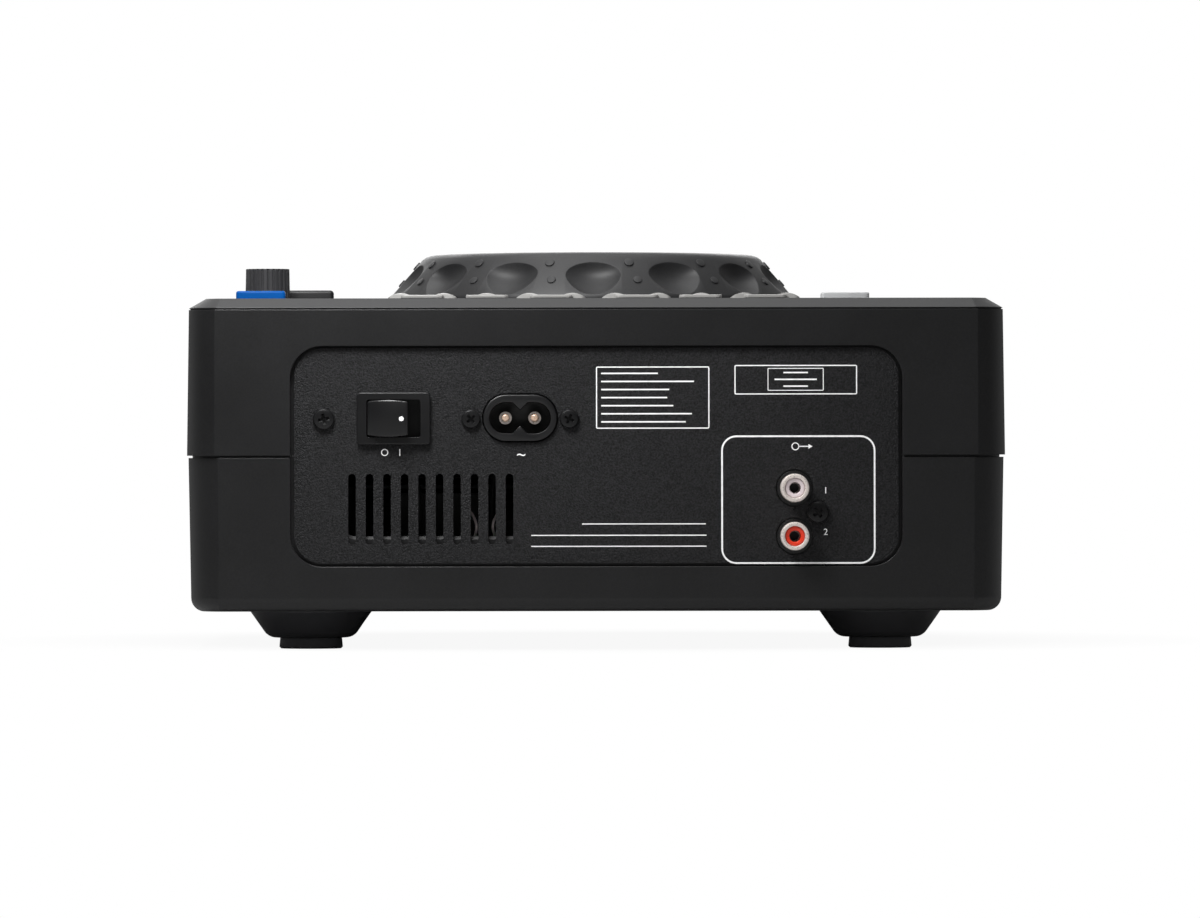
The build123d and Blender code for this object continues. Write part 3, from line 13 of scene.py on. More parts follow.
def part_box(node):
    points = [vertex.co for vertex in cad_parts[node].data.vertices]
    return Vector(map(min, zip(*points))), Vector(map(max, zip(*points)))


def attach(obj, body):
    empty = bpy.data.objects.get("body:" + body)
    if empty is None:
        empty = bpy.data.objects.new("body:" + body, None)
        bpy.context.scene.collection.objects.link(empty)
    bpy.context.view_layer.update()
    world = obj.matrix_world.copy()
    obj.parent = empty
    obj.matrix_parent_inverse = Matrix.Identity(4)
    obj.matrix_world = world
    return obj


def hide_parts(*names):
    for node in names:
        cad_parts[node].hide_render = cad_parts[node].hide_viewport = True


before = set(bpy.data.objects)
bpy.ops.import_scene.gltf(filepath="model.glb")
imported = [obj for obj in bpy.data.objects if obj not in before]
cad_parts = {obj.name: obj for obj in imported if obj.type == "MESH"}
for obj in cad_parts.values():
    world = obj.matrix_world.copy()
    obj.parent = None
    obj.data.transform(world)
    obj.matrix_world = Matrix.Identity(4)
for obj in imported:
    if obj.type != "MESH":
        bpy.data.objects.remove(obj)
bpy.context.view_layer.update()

LOG = logging.getLogger("disc_player")
MM = 0.001
INK_THICKNESS = 0.03 * MM

Piece = bpy.types.Object
Tree = bpy.types.NodeTree
Socket = bpy.types.NodeSocket
Route = tuple[tuple[float, float, float], ...]


# ---------------------------------------------------------------- workshop
class Pick(Enum):
    """Kind of mesh element that a choice in edit mode works on."""

    VERT = "VERT"
    EDGE = "EDGE"
    FACE = "FACE"


class Facing(Enum):
    """Which way a flat print faces, as the turn of a piece drawn in the XY plane."""

    UP = (0.0, 0.0, 0.0)
    REAR = (math.pi / 2, 0.0, math.pi)
    FRONT = (math.pi / 2, 0.0, 0.0)


def deselect_all() -> None:
    """Leaves edit mode and deselects every object."""
    if bpy.context.mode != "OBJECT":
        bpy.ops.object.mode_set(mode="OBJECT")
    bpy.ops.object.select_all(action="DESELECT")


def activate(piece: Piece) -> None:
    """Makes one object the only selected and active one.

    Args:
        piece: The mesh object.
    """
    deselect_all()
    piece.select_set(True)
    bpy.context.view_layer.objects.active = piece


def newest(name: str) -> Piece:
    """Names the object that an add operator just made, and its mesh.

    Args:
        name: The new piece's name.

    Returns:
        The new piece, settled.
    """
    piece = bpy.context.active_object
    piece.name = name
    piece.data.name = name
    return piece


@contextmanager
def editing(piece: Piece, pick: Pick = Pick.FACE) -> Iterator[None]:
    """Opens a piece in edit mode with nothing selected.

    Args:
        piece: The mesh object to edit.
        pick: The kind of element that operators select.

    Returns:
        Nothing: it hands control to the block.
    """
    activate(piece)
    bpy.ops.object.mode_set(mode="EDIT")
    bpy.ops.mesh.select_mode(type=pick.value)
    bpy.ops.mesh.select_all(action="DESELECT")
    yield
    bpy.ops.object.mode_set(mode="OBJECT")


def choose(piece: Piece, pick: Pick, test: Callable) -> int:
    """Selects elements in edit mode by their place or normal.

    Args:
        piece: The mesh object in edit mode.
        pick: Which elements the test reads.
        test: True for an element that is selected.

    Returns:
        How many elements passed.
    """
    mesh = bmesh.from_edit_mesh(piece.data)
    bpy.ops.mesh.select_all(action="DESELECT")
    elements = {Pick.VERT: mesh.verts, Pick.EDGE: mesh.edges, Pick.FACE: mesh.faces}[pick]
    passed = [element for element in elements if test(element)]
    for element in passed:
        element.select_set(True)
    bmesh.update_edit_mesh(piece.data)
    return len(passed)


def settle(piece: Piece) -> Piece:
    """Moves an object's place, turn and size into its mesh.

    Args:
        piece: The mesh object.

    Returns:
        The same object.
    """
    activate(piece)
    bpy.ops.object.transform_apply(location=True, rotation=True, scale=True)
    return piece


def add_piece(operator: Callable, name: str, **settings: object) -> Piece:
    """Adds a primitive or a curve with nothing else selected.

    Args:
        operator: The add operator.
        name: The new piece's name.
        **settings: The operator's settings.

    Returns:
        The new piece, settled.
    """
    deselect_all()
    operator(**settings)
    return settle(newest(name))


def bar_ends(edge: bmesh.types.BMEdge, axis: int) -> float:
    """Distance between an edge's ends along one axis."""
    return abs(edge.verts[0].co[axis] - edge.verts[1].co[axis])


def close_ends(piece: Piece) -> None:
    """Fills the open ring of a turned piece.

    Args:
        piece: The mesh object.
    """
    with editing(piece, Pick.EDGE):
        choose(piece, Pick.EDGE, lambda e: e.is_boundary)
        bpy.ops.mesh.edge_face_add()


def finish_with(piece: Piece, kind: str, **settings: object) -> None:
    """Adds a modifier, sets it and applies it.

    Args:
        piece: The mesh object.
        kind: Blender's name of the modifier's type.
        **settings: The modifier's settings.
    """
    modifier = piece.modifiers.new(kind.title(), kind)
    for name, value in settings.items():
        setattr(modifier, name, value)
    activate(piece)
    bpy.ops.object.modifier_apply(modifier=modifier.name)


def soften(piece: Piece, width: float, segments: int = 2, angle: float = 40.0) -> None:
    """Rounds every edge that is sharper than an angle in degrees."""
    finish_with(piece, "BEVEL", width=width, segments=segments, limit_method="ANGLE",
                angle_limit=math.radians(angle), harden_normals=False)


def smooth(piece: Piece, angle: float = 30.0) -> None:
    """Shades a piece smooth, but keeps edges sharper than an angle in degrees."""
    activate(piece)
    bpy.ops.object.shade_smooth_by_angle(angle=math.radians(angle))


def tidy_mesh(piece: Piece, distance: float = 0.002 * MM) -> None:
    """Merges doubles and turns every face outwards.

    Args:
        piece: The mesh object.
        distance: Vertices closer than this become one.
    """
    with editing(piece, Pick.VERT):
        bpy.ops.mesh.select_all(action="SELECT")
        bpy.ops.mesh.remove_doubles(threshold=distance)
        bpy.ops.mesh.normals_make_consistent(inside=False)


def carve(piece: Piece, cutter: Piece, operation: str = "DIFFERENCE") -> None:
    """Cuts, joins or intersects a piece with another one, which is then gone."""
    finish_with(piece, "BOOLEAN", operation=operation, object=cutter, solver="EXACT")
    bpy.data.objects.remove(cutter, do_unlink=True)


def copy_of(piece: Piece, name: str) -> Piece:
    """Copy of a piece with its own mesh.

    Args:
        piece: What is copied.
        name: The new piece's name.

    Returns:
        The new piece, settled.
    """
    activate(piece)
    bpy.ops.object.duplicate(linked=False)
    return newest(name)


def joined(pieces: Sequence[Piece], name: str) -> Piece:
    """Joins several meshes into one piece.

    Args:
        pieces: The meshes, of which the first keeps its object.
        name: The new piece's name.

    Returns:
        The new piece, settled.
    """
    activate(pieces[0])
    for piece in pieces[1:]:
        piece.select_set(True)
    if len(pieces) > 1:
        bpy.ops.object.join()
    return newest(name)


def rounded_block(name: str, low: Vector, high: Vector, corner: float, edge: float,
                  segments: int = 4) -> Piece:
    """Block with round upright corners and softened upper edges.

    Args:
        name: The piece's name.
        low: Its lowest corner.
        high: Its highest corner.
        corner: Radius of the four upright corners.
        edge: Radius of the upper edges.
        segments: Steps in each rounding.

    Returns:
        The new piece, settled.
    """
    piece = add_piece(bpy.ops.mesh.primitive_cube_add, name, size=1.0, location=(low + high) / 2,
                      scale=high - low)
    with editing(piece, Pick.EDGE):
        choose(piece, Pick.EDGE, lambda e: bar_ends(e, 2) > (high.z - low.z) / 2)
        bpy.ops.mesh.bevel(offset=corner, segments=segments, affect="EDGES")
        choose(piece, Pick.EDGE, lambda e: min(v.co.z for v in e.verts) > high.z - 1e-6)
        bpy.ops.mesh.bevel(offset=edge, segments=segments, affect="EDGES")
    return piece


def turned_piece(name: str, profile: Sequence[tuple[float, float]], axis: Vector, steps: int,
                 closed: bool = False) -> Piece:
    """Turns a piece about an upright axis by extruding and scaling a ring of edges.

    Args:
        name: The piece's name.
        profile: Radius and height of each ring, in metres.
        axis: A point on the axis.
        steps: Edges in the ring.
        closed: True where the last ring joins the first one.

    Returns:
        The new piece, settled and facing outwards.
    """
    radius, height = profile[0]
    piece = add_piece(bpy.ops.mesh.primitive_circle_add, name, vertices=steps, radius=radius,
                      location=(axis.x, axis.y, height))
    with editing(piece, Pick.EDGE):
        bpy.ops.mesh.select_all(action="SELECT")
        if not closed:
            bpy.ops.mesh.edge_face_add()
        for next_radius, next_height in profile[1:]:
            move = (0.0, 0.0, next_height - height)
            bpy.ops.mesh.extrude_region_move(TRANSFORM_OT_translate={"value": move})
            factor = next_radius / radius
            bpy.ops.transform.resize(value=(factor, factor, 1.0),
                                     center_override=(axis.x, axis.y, next_height))
            radius, height = next_radius, next_height
        if closed:
            choose(piece, Pick.EDGE, lambda e: e.is_boundary)
            bpy.ops.mesh.bridge_edge_loops()
    tidy_mesh(piece)
    return piece


def peg_along_y(name: str, x: float, z: float, radius: float, y0: float, y1: float,
                steps: int = 48) -> Piece:
    """Round bar along Y between two depths."""
    return add_piece(bpy.ops.mesh.primitive_cylinder_add, name, vertices=steps, radius=radius, depth=y1 - y0,
                     location=(x, (y0 + y1) / 2, z), rotation=(math.pi / 2, 0, 0))


# ---------------------------------------------------------------- finishes
def linear(colour: str) -> tuple[float, float, float, float]:
    """Turns an sRGB hex value into linear red, green, blue and alpha.

    Args:
        colour: The value, as #rrggbb.

    Returns:
        The linear red, green, blue and alpha.
    """
    channels = [int(colour[i:i + 2], 16) / 255 for i in (1, 3, 5)]
    parts = [c / 12.92 if c <= 0.04045 else ((c + 0.055) / 1.055) ** 2.4 for c in channels]
    return (parts[0], parts[1], parts[2], 1.0)


def add_node(tree: Tree, kind: str, settings: Optional[dict] = None,
             links: Optional[dict] = None) -> bpy.types.Node:
    """Adds a node with its settings and links.

    Args:
        tree: The node tree.
        kind: The node's type, without the ShaderNode prefix.
        settings: Properties and input values by name.
        links: Input name or number to the socket that feeds it.

    Returns:
        The new node.
    """
    node = tree.nodes.new("ShaderNode" + kind)
    for name, value in (settings or {}).items():
        if isinstance(name, str) and hasattr(node, name):
            setattr(node, name, value)
        else:
            node.inputs[name].default_value = value
    for name, socket in (links or {}).items():
        tree.links.new(socket, node.inputs[name])
    return node


def ramp(start: float, end: float, low: float = 0.0, high: float = 1.0) -> dict[str, float]:
    """Settings that turn a value between start and end into one between low and high."""
    return {"From Min": start, "From Max": end, "To Min": low, "To Max": high}


def per_mm(size_mm: float) -> float:
    """Pattern scale, in repeats a metre, of a pattern whose features are this many millimetres."""
    return 1.0 / (size_mm * MM)


@dataclass(frozen=True)
class Finish:
    """What every finish has: a name and the material that it builds once."""

    name: str

    def material(self) -> bpy.types.Material:
        """Returns this finish's material, made on first use.

        Returns:
            This finish's material.
        """
        known = bpy.data.materials.get(self.name)
        if known:
            return known
        made = bpy.data.materials.new(self.name)
        made.use_nodes = True
        made.node_tree.nodes.clear()
        shader = self.shader(made.node_tree)
        add_node(made.node_tree, "OutputMaterial", links={"Surface": shader})
        return made

    def shader(self, tree: Tree) -> Socket:
        """Builds the nodes and returns the surface socket."""
        raise NotImplementedError


@dataclass(frozen=True)
class Moulded(Finish):
    """Moulded or painted plastic and rubber: a fine grain, faint mottling, and slightly paler edges that are
    a painted edge highlight along with light wear.
    """

    colour: str = "#2a2a2c"
    pale: str = "#3a3a3c"
    roughness: float = 0.45
    spread: float = 0.08
    grain_mm: float = 0.5
    grain_depth_mm: float = 0.012
    mottle_mm: float = 25.0
    edge_mm: float = 0.35
    ior: float = 1.5
    coat: float = 0.0
    through: float = 0.0
    speck_mm: float = 0.8
    speck: float = 0.0

    def shader(self, tree: Tree) -> Socket:
        """Builds the nodes and returns the surface socket.

        Args:
            tree: The material's node tree.

        Returns:
            The socket for the surface.
        """
        place = add_node(tree, "TexCoord").outputs["Object"]
        grain = add_node(tree, "TexNoise", {"Scale": per_mm(self.grain_mm), "Detail": 3.0, "Roughness": 0.6},
                         {"Vector": place})
        mottle = add_node(tree, "TexNoise", {"Scale": per_mm(self.mottle_mm), "Detail": 4.0},
                          {"Vector": place})
        rounded = add_node(tree, "Bevel", {"samples": 4, "Radius": self.edge_mm * MM})
        bump = add_node(tree, "Bump", {"Strength": 1.0, "Distance": self.grain_depth_mm * MM},
                        {"Height": grain.outputs[0], "Normal": rounded.outputs[0]})
        flat = add_node(tree, "NewGeometry").outputs["Normal"]
        turn = add_node(tree, "VectorMath", {"operation": "DOT_PRODUCT"}, {0: rounded.outputs[0], 1: flat})
        # Paler colour where the rounded normal turns away from the flat one: a painted edge highlight along
        # with light wear.
        wear_and_edge_highlight = add_node(tree, "MapRange", ramp(1.0, 0.8, 0.0, 0.75), {"Value": turn.outputs["Value"]})
        cloud = add_node(tree, "MapRange", ramp(0.35, 0.75, 0.0, 0.28), {"Value": mottle.outputs[0]})
        fac = add_node(tree, "Math", {"operation": "MAXIMUM"}, {0: wear_and_edge_highlight.outputs[0], 1: cloud.outputs[0]})
        tint = add_node(tree, "Mix", {"data_type": "RGBA", 6: linear(self.colour), 7: linear(self.pale)},
                        {0: fac.outputs[0]})
        colour = tint.outputs[2]
        if self.speck:
            colour = self.speckled(tree, place, colour)
        sheen = ramp(0.3, 0.7, self.roughness - self.spread, self.roughness + self.spread)
        rough = add_node(tree, "MapRange", sheen, {"Value": mottle.outputs[0]})
        body = add_node(tree, "BsdfPrincipled",
                        {"IOR": self.ior, "Coat Weight": self.coat, "Coat Roughness": 0.12,
                         "Transmission Weight": self.through},
                        {"Base Color": colour, "Roughness": rough.outputs[0], "Normal": bump.outputs[0]})
        return body.outputs[0]

    def speckled(self, tree: Tree, place: Socket, colour: Socket) -> Socket:
        """Adds the light and dark specks of a grained surface.

        Args:
            tree: The material's node tree.
            place: Object coordinates.
            colour: The colour before the specks.

        Returns:
            The colour with its specks.
        """
        grain = add_node(tree, "TexNoise", {"Scale": per_mm(self.speck_mm), "Detail": 2.0, "Roughness": 0.7},
                         {"Vector": place})
        swing = ramp(0.3, 0.7, max(0.0, 1.0 - self.speck), 1.0 + self.speck)
        level = add_node(tree, "MapRange", swing, {"Value": grain.outputs[0]})
        scaled = add_node(tree, "VectorMath", {"operation": "SCALE"}, {0: colour, "Scale": level.outputs[0]})
        return scaled.outputs[0]


class Brush(Enum):
    """How a metal's brush marks run, as the scale of the pattern along each axis."""

    NONE = (1.0, 1.0, 1.0)
    ALONG_X = (0.02, 1.0, 1.0)
    ALONG_Y = (1.0, 0.02, 1.0)
    ROUND = (1.0, 0.0, 0.0)


@dataclass(frozen=True)
class Metal(Finish):
    """Plated, brushed or blackened metal."""

    colour: str = "#b8b8ba"
    dull: str = "#8d8d90"
    roughness: float = 0.25
    brush: Brush = Brush.NONE
    brush_mm: float = 0.3
    centre: tuple[float, float, float] = (0.0, 0.0, 0.0)
    metallic: float = 1.0
    edge_mm: float = 0.2
    cloud_mm: float = 9.0
    mark_depth_mm: float = 0.004

    def shader(self, tree: Tree) -> Socket:
        """Builds the nodes and returns the surface socket.

        Args:
            tree: The material's node tree.

        Returns:
            The socket for the surface.
        """
        place = add_node(tree, "TexCoord").outputs["Object"]
        away = tuple(-c for c in self.centre)
        moved = add_node(tree, "Mapping", {"Location": away}, {"Vector": place}).outputs[0]
        if self.brush is Brush.ROUND:
            flat = add_node(tree, "VectorMath", {"operation": "MULTIPLY", 1: (1.0, 1.0, 0.0)}, {0: moved})
            reach = add_node(tree, "VectorMath", {"operation": "LENGTH"}, {0: flat.outputs[0]})
            moved = add_node(tree, "CombineXYZ", links={"X": reach.outputs["Value"]}).outputs[0]
        drawn = add_node(tree, "Mapping", {"Scale": self.brush.value}, {"Vector": moved}).outputs[0]
        marks = add_node(tree, "TexNoise", {"Scale": per_mm(self.brush_mm), "Detail": 4.0}, {"Vector": drawn})
        cloud = add_node(tree, "TexNoise", {"Scale": per_mm(self.cloud_mm), "Detail": 3.0}, {"Vector": place})
        rounded = add_node(tree, "Bevel", {"samples": 4, "Radius": self.edge_mm * MM})
        bump = add_node(tree, "Bump", {"Strength": 1.0, "Distance": self.mark_depth_mm * MM},
                        {"Height": marks.outputs[0], "Normal": rounded.outputs[0]})
        tint = add_node(tree, "Mix", {"data_type": "RGBA", 6: linear(self.colour), 7: linear(self.dull)},
                        {0: cloud.outputs[0]})
        sheen = ramp(0.3, 0.7, self.roughness * 0.8, self.roughness * 1.25)
        rough = add_node(tree, "MapRange", sheen, {"Value": marks.outputs[0]})
        body = add_node(tree, "BsdfPrincipled", {"Metallic": self.metallic},
                        {"Base Color": tint.outputs[2], "Roughness": rough.outputs[0],
                         "Normal": bump.outputs[0]})
        return body.outputs[0]


@dataclass(frozen=True)
class Ink(Finish):
    """Screen-printed ink: matt, a little thin in places."""

    colour: str = "#e8e8e8"
    thin: str = "#b4b4b4"
    patch_mm: float = 1.2

    def shader(self, tree: Tree) -> Socket:
        """Builds the nodes and returns the surface socket.

        Args:
            tree: The material's node tree.

        Returns:
            The socket for the surface.
        """
        place = add_node(tree, "TexCoord").outputs["Object"]
        patch = add_node(tree, "TexNoise", {"Scale": per_mm(self.patch_mm), "Detail": 3.0}, {"Vector": place})
        fade = add_node(tree, "MapRange", ramp(0.45, 0.8), {"Value": patch.outputs[0]})
        tint = add_node(tree, "Mix", {"data_type": "RGBA", 6: linear(self.colour), 7: linear(self.thin)},
                        {0: fade.outputs[0]})
        body = add_node(tree, "BsdfPrincipled", {"Roughness": 0.6, "IOR": 1.45},
                        {"Base Color": tint.outputs[2]})
        return body.outputs[0]


@dataclass(frozen=True)
class Clear(Finish):
    """Clear or tinted window plastic."""

    colour: str = "#101418"
    roughness: float = 0.06
    through: float = 0.9
    dust_mm: float = 6.0

    def shader(self, tree: Tree) -> Socket:
        """Builds the nodes and returns the surface socket.

        Args:
            tree: The material's node tree.

        Returns:
            The socket for the surface.
        """
        place = add_node(tree, "TexCoord").outputs["Object"]
        dust = add_node(tree, "TexNoise", {"Scale": per_mm(self.dust_mm), "Detail": 5.0}, {"Vector": place})
        sheen = ramp(0.3, 0.7, self.roughness * 0.7, self.roughness * 1.6)
        rough = add_node(tree, "MapRange", sheen, {"Value": dust.outputs[0]})
        body = add_node(tree, "BsdfPrincipled",
                        {"Base Color": linear(self.colour), "IOR": 1.49,
                         "Transmission Weight": self.through},
                        {"Roughness": rough.outputs[0]})
        return body.outputs[0]


@dataclass(frozen=True)
class Board(Finish):
    """Lacquered circuit board with copper tracks under the lacquer."""

    colour: str = "#0f3d22"
    track: str = "#1f6a3a"
    track_mm: float = 4.0

    def shader(self, tree: Tree) -> Socket:
        """Builds the nodes and returns the surface socket.

        Args:
            tree: The material's node tree.

        Returns:
            The socket for the surface.
        """
        place = add_node(tree, "TexCoord").outputs["Object"]
        cells = add_node(tree, "TexVoronoi",
                         {"distance": "MANHATTAN", "feature": "F1", "Scale": per_mm(self.track_mm)},
                         {"Vector": place})
        line = add_node(tree, "MapRange", ramp(0.42, 0.5), {"Value": cells.outputs["Distance"]})
        tint = add_node(tree, "Mix", {"data_type": "RGBA", 6: linear(self.colour), 7: linear(self.track)},
                        {0: line.outputs[0]})
        body = add_node(tree, "BsdfPrincipled", {"Roughness": 0.35}, {"Base Color": tint.outputs[2]})
        return body.outputs[0]


# ABS with a fine spark-eroded texture: soft, broad sheen. The specks are drawn coarser than real, to show.
CASING = Moulded("spark_textured_abs", colour="#0e0e0f", pale="#18181a", roughness=0.44, spread=0.02,
                 grain_mm=0.35, ior=1.45, edge_mm=0.4, speck_mm=0.5, speck=0.4)
# Steel with black powder coat: an orange-peel grain that breaks the light into specks, drawn coarse to show.
POWDER = Moulded("powder_coated_steel", colour="#0d0d0e", pale="#141415", roughness=0.5, grain_mm=0.5,
                 ior=1.3, grain_depth_mm=0.3, mottle_mm=40.0, edge_mm=0.15, speck_mm=0.5, speck=3.0)
# Smooth moulded feet with a satin sheen. Their colour is set paler than the casing as painted light, standing
# in for light bounced up from the floor onto the feet.
FOOT = Moulded("satin_foot_plastic", colour="#303032", pale="#3e3e40", roughness=0.4, grain_mm=0.3)
# Nitrile rubber: almost no sheen. Its grey colour is painted light, standing in for light bounced up from the
# floor onto the pads.
PAD = Moulded("nitrile_rubber", colour="#3e3e40", pale="#4c4c4e", roughness=0.75, grain_mm=0.4)
# Nylon and polycarbonate fittings: smooth, darker and shinier than the casing.
NYLON = Moulded("gloss_black_nylon", colour="#0e0e0f", pale="#1a1a1c", roughness=0.34, grain_mm=0.3,
                grain_depth_mm=0.004, edge_mm=0.2)
# Moulded wheel with a satin surface: soft light in the scoops, and paler edges that are a painted highlight
# along with light wear.
JOG = Moulded("satin_jog_plastic", colour="#1b1b1c", pale="#2c2c2d", roughness=0.52, grain_mm=0.4,
              grain_depth_mm=0.01, edge_mm=0.2, ior=1.5, speck_mm=0.4, speck=0.3)
# Keys sprayed silver-grey: an even, slightly shiny coat.
SILVER = Moulded("silver_painted_plastic", colour="#807f7d", pale="#a09f9d", roughness=0.4, grain_mm=0.3,
                 grain_depth_mm=0.005, edge_mm=0.15)
# Dyed plastic keys: full colour with little shine on top.
BLUE = Moulded("blue_translucent_plastic", colour="#003c78", pale="#0354a0", roughness=0.45, grain_mm=0.3,
               grain_depth_mm=0.004, edge_mm=0.15, ior=1.15)
DARK_KEY = Moulded("dark_key_plastic", colour="#0f0f10", pale="#19191a", roughness=0.45, grain_mm=0.3,
                   edge_mm=0.2, ior=1.35)
# Frosted plastic: milky, with some light through it.
FROSTED = Moulded("frosted_clear_plastic", colour="#b8b9ba", pale="#cccccc", roughness=0.35, grain_mm=0.4,
                  grain_depth_mm=0.004, edge_mm=0.1, through=0.35)
# Soft-touch lacquer: dull, so the flutes show as shade and not as shine.
KNOB = Moulded("soft_touch_knob", colour="#1e1e20", pale="#343436", roughness=0.55, grain_mm=0.3)
# Moulded tray: satin, with a faint mottle.
TRAY = Moulded("satin_tray_plastic", colour="#202022", pale="#323234", roughness=0.42, grain_mm=0.3)
# Acetal gears and hubs: cream white and waxy.
ACETAL = Moulded("natural_acetal", colour="#d8d6cd", pale="#efeee8", roughness=0.4, grain_mm=0.5)
# Moulded jack insulators: clean colour with a small, soft shine.
WHITE_CORE = Moulded("white_jack_insulator", colour="#ccbfc1", pale="#e0d6d6", roughness=0.35, grain_mm=0.4,
                     grain_depth_mm=0.004)
RED_CORE = Moulded("red_jack_insulator", colour="#cf3016", pale="#e04a2c", roughness=0.35, grain_mm=0.4,
                   grain_depth_mm=0.004)
# Epoxy of chips and capacitors: dull black, with paler edges that are a painted highlight along with light
# wear.
PARTS_BLACK = Moulded("component_epoxy", colour="#1b1b1d", pale="#3a3a3c", roughness=0.5, grain_mm=0.4)
# Zinc screws dyed black: dark metal that catches the light on its rims.
BLACK_SCREW = Metal("black_zinc_screw", colour="#2c2c2d", dull="#151516", roughness=0.3, metallic=0.6)
# Nickel and brass under thin plate: bright and warm, less mirror-like than bare metal.
NICKEL = Metal("nickel_plate", colour="#efe6e0", dull="#d6cbc4", roughness=0.3, brush_mm=0.4, metallic=0.45)
BRASS = Metal("plated_brass", colour="#ecd2bd", dull="#d0ac92", roughness=0.3, metallic=0.5)
# Spun and anodised aluminium: rings of fine marks that draw the light out into a fan.
JOG_CAP_METAL = Metal("dark_anodised_aluminium", colour="#4a4a4d", dull="#3c3c3f", roughness=0.34,
                      brush=Brush.ROUND, brush_mm=0.5, centre=(0.0, -9.0 * MM, 0.0))
# Ground steel rods and hub: marks along their length.
STEEL = Metal("ground_steel", colour="#a8a8aa", dull="#8a8a8c", roughness=0.25, brush=Brush.ALONG_Y)
# Rolled sheet with bright zinc: long marks and a cool grey.
ZINC = Metal("zinc_plated_sheet", colour="#aaadb0", dull="#8b8e92", roughness=0.35, brush=Brush.ALONG_X)
# Sintered bronze bearing: brown and open-grained.
BRONZE = Metal("sintered_bronze", colour="#8d6a3f", dull="#6b4f2e", roughness=0.5)
WHITE_INK = Ink("white_print", colour="#f2f2f2", thin="#dcdcdc")
GREY_INK = Ink("grey_print", colour="#8c8c8e", thin="#6e6e70")
# Tinted acrylic: clear, dark and glossy, with a little dust.
WINDOW = Clear("tinted_acrylic_window")
# Display glass: near black and mirror-smooth. Its unlit segments are only just visible.
DISPLAY_GLASS = Moulded("display_glass", colour="#0b1118", pale="#141d26", roughness=0.15, grain_mm=1.0,
                        grain_depth_mm=0.001, coat=1.0)
SEGMENT = Ink("unlit_segment", colour="#1e2a36", thin="#18222c")
# Coated lens: violet, under a hard gloss.
LENS = Moulded("coated_lens", colour="#17142e", pale="#2c2850", roughness=0.1, grain_mm=1.0,
               grain_depth_mm=0.001, coat=1.0)
LACQUER = Board("green_lacquered_board")
# Milky acrylic rings: pale green-grey, half see-through.
LIGHT_RING = Moulded("milky_light_ring", colour="#8f9a96", pale="#b8c2be", roughness=0.35, grain_mm=0.5,
                     through=0.3)

CAD_FINISHES: dict[str, Finish] = {
    "upper_shell": CASING, "lower_shell": CASING, "rear_panel": POWDER, "foot_cones": FOOT,
    "foot_pads": PAD, "case_screws": BLACK_SCREW, "switch_housing": NYLON, "jack_block": NYLON,
    "jog_hub": STEEL, "jog_bearing": BRONZE, "key_surrounds": SILVER, "fader_cap": DARK_KEY,
    "slide_pot": ZINC, "knob_encoder": PARTS_BLACK, "display_window": WINDOW,
    "display_module": DISPLAY_GLASS, "control_board": LACQUER, "main_board": LACQUER,
    "power_board": LACQUER, "board_parts": PARTS_BLACK, "disc_tray": TRAY, "tray_front": CASING,
    "loader_chassis": PARTS_BLACK, "loading_motor": ZINC, "motor_pinion": ACETAL, "loading_gear": ACETAL,
    "traverse_frame": PARTS_BLACK, "sled_rails": STEEL, "drive_motors": ZINC, "spindle_hub": ACETAL,
    "pickup_sled": PARTS_BLACK, "pickup_lens": LENS, "sled_gear": ACETAL, "clamp_bridge": ZINC,
    "clamp_puck": ACETAL, "play_button": SILVER, "cue_button": SILVER, "rear_screws": BLACK_SCREW,
    "inlet_pins": BRASS, "jack_shells": NICKEL, "jack_insulator_white": WHITE_CORE,
    "jack_insulator_red": RED_CORE, "inlet_housing": NYLON, "power_rocker": NYLON, "jog_wheel": JOG,
    "jog_cap": JOG_CAP_METAL, "track_knob": KNOB, "blue_key": BLUE, "dark_key": DARK_KEY,
    "clear_key": FROSTED,
}


def dress(piece: Piece, finish: Finish) -> None:
    """Gives a piece one finish all over."""
    piece.data.materials.clear()
    piece.data.materials.append(finish.material())


def dress_cad_nodes() -> None:
    """Gives every node of the frame its finish."""
    for name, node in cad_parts.items():
        finish = CAD_FINISHES.get(name, SILVER)
        for slot in node.material_slots:
            slot.material = finish.material()


@dataclass
class SubAssembly:
    """A group of pieces that one maker builds. Reports each piece as it is placed."""

    body: str = "casing"
    made: list[str] = field(default_factory=list)

    def place(self, piece: Piece, finish: Finish, slot: str, body: str = "",
              stands_for: Sequence[str] = (), sharp: float = 30.0) -> Piece:
        """Dresses a piece and lets it ride on its body.

        Args:
            piece: The new piece, settled.
            finish: Its finish.
            slot: The record's material slot; not used.
            body: The body that it rides on, or the sub-assembly's own.
            stands_for: The nodes that it replaces.
            sharp: Edges above this angle in degrees stay sharp.

        Returns:
            The piece.
        """
        smooth(piece, sharp)
        dress(piece, finish)
        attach(piece, body or self.body)
        if stands_for:
            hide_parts(*stands_for)
        self.made.append(piece.name)
        LOG.info("%s: %s, %d faces", type(self).__name__, piece.name, len(piece.data.polygons))
        return piece


def middle_of(node: str) -> Vector:
    """Middle of a node's box, in metres."""
    low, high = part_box(node)
    return (low + high) / 2


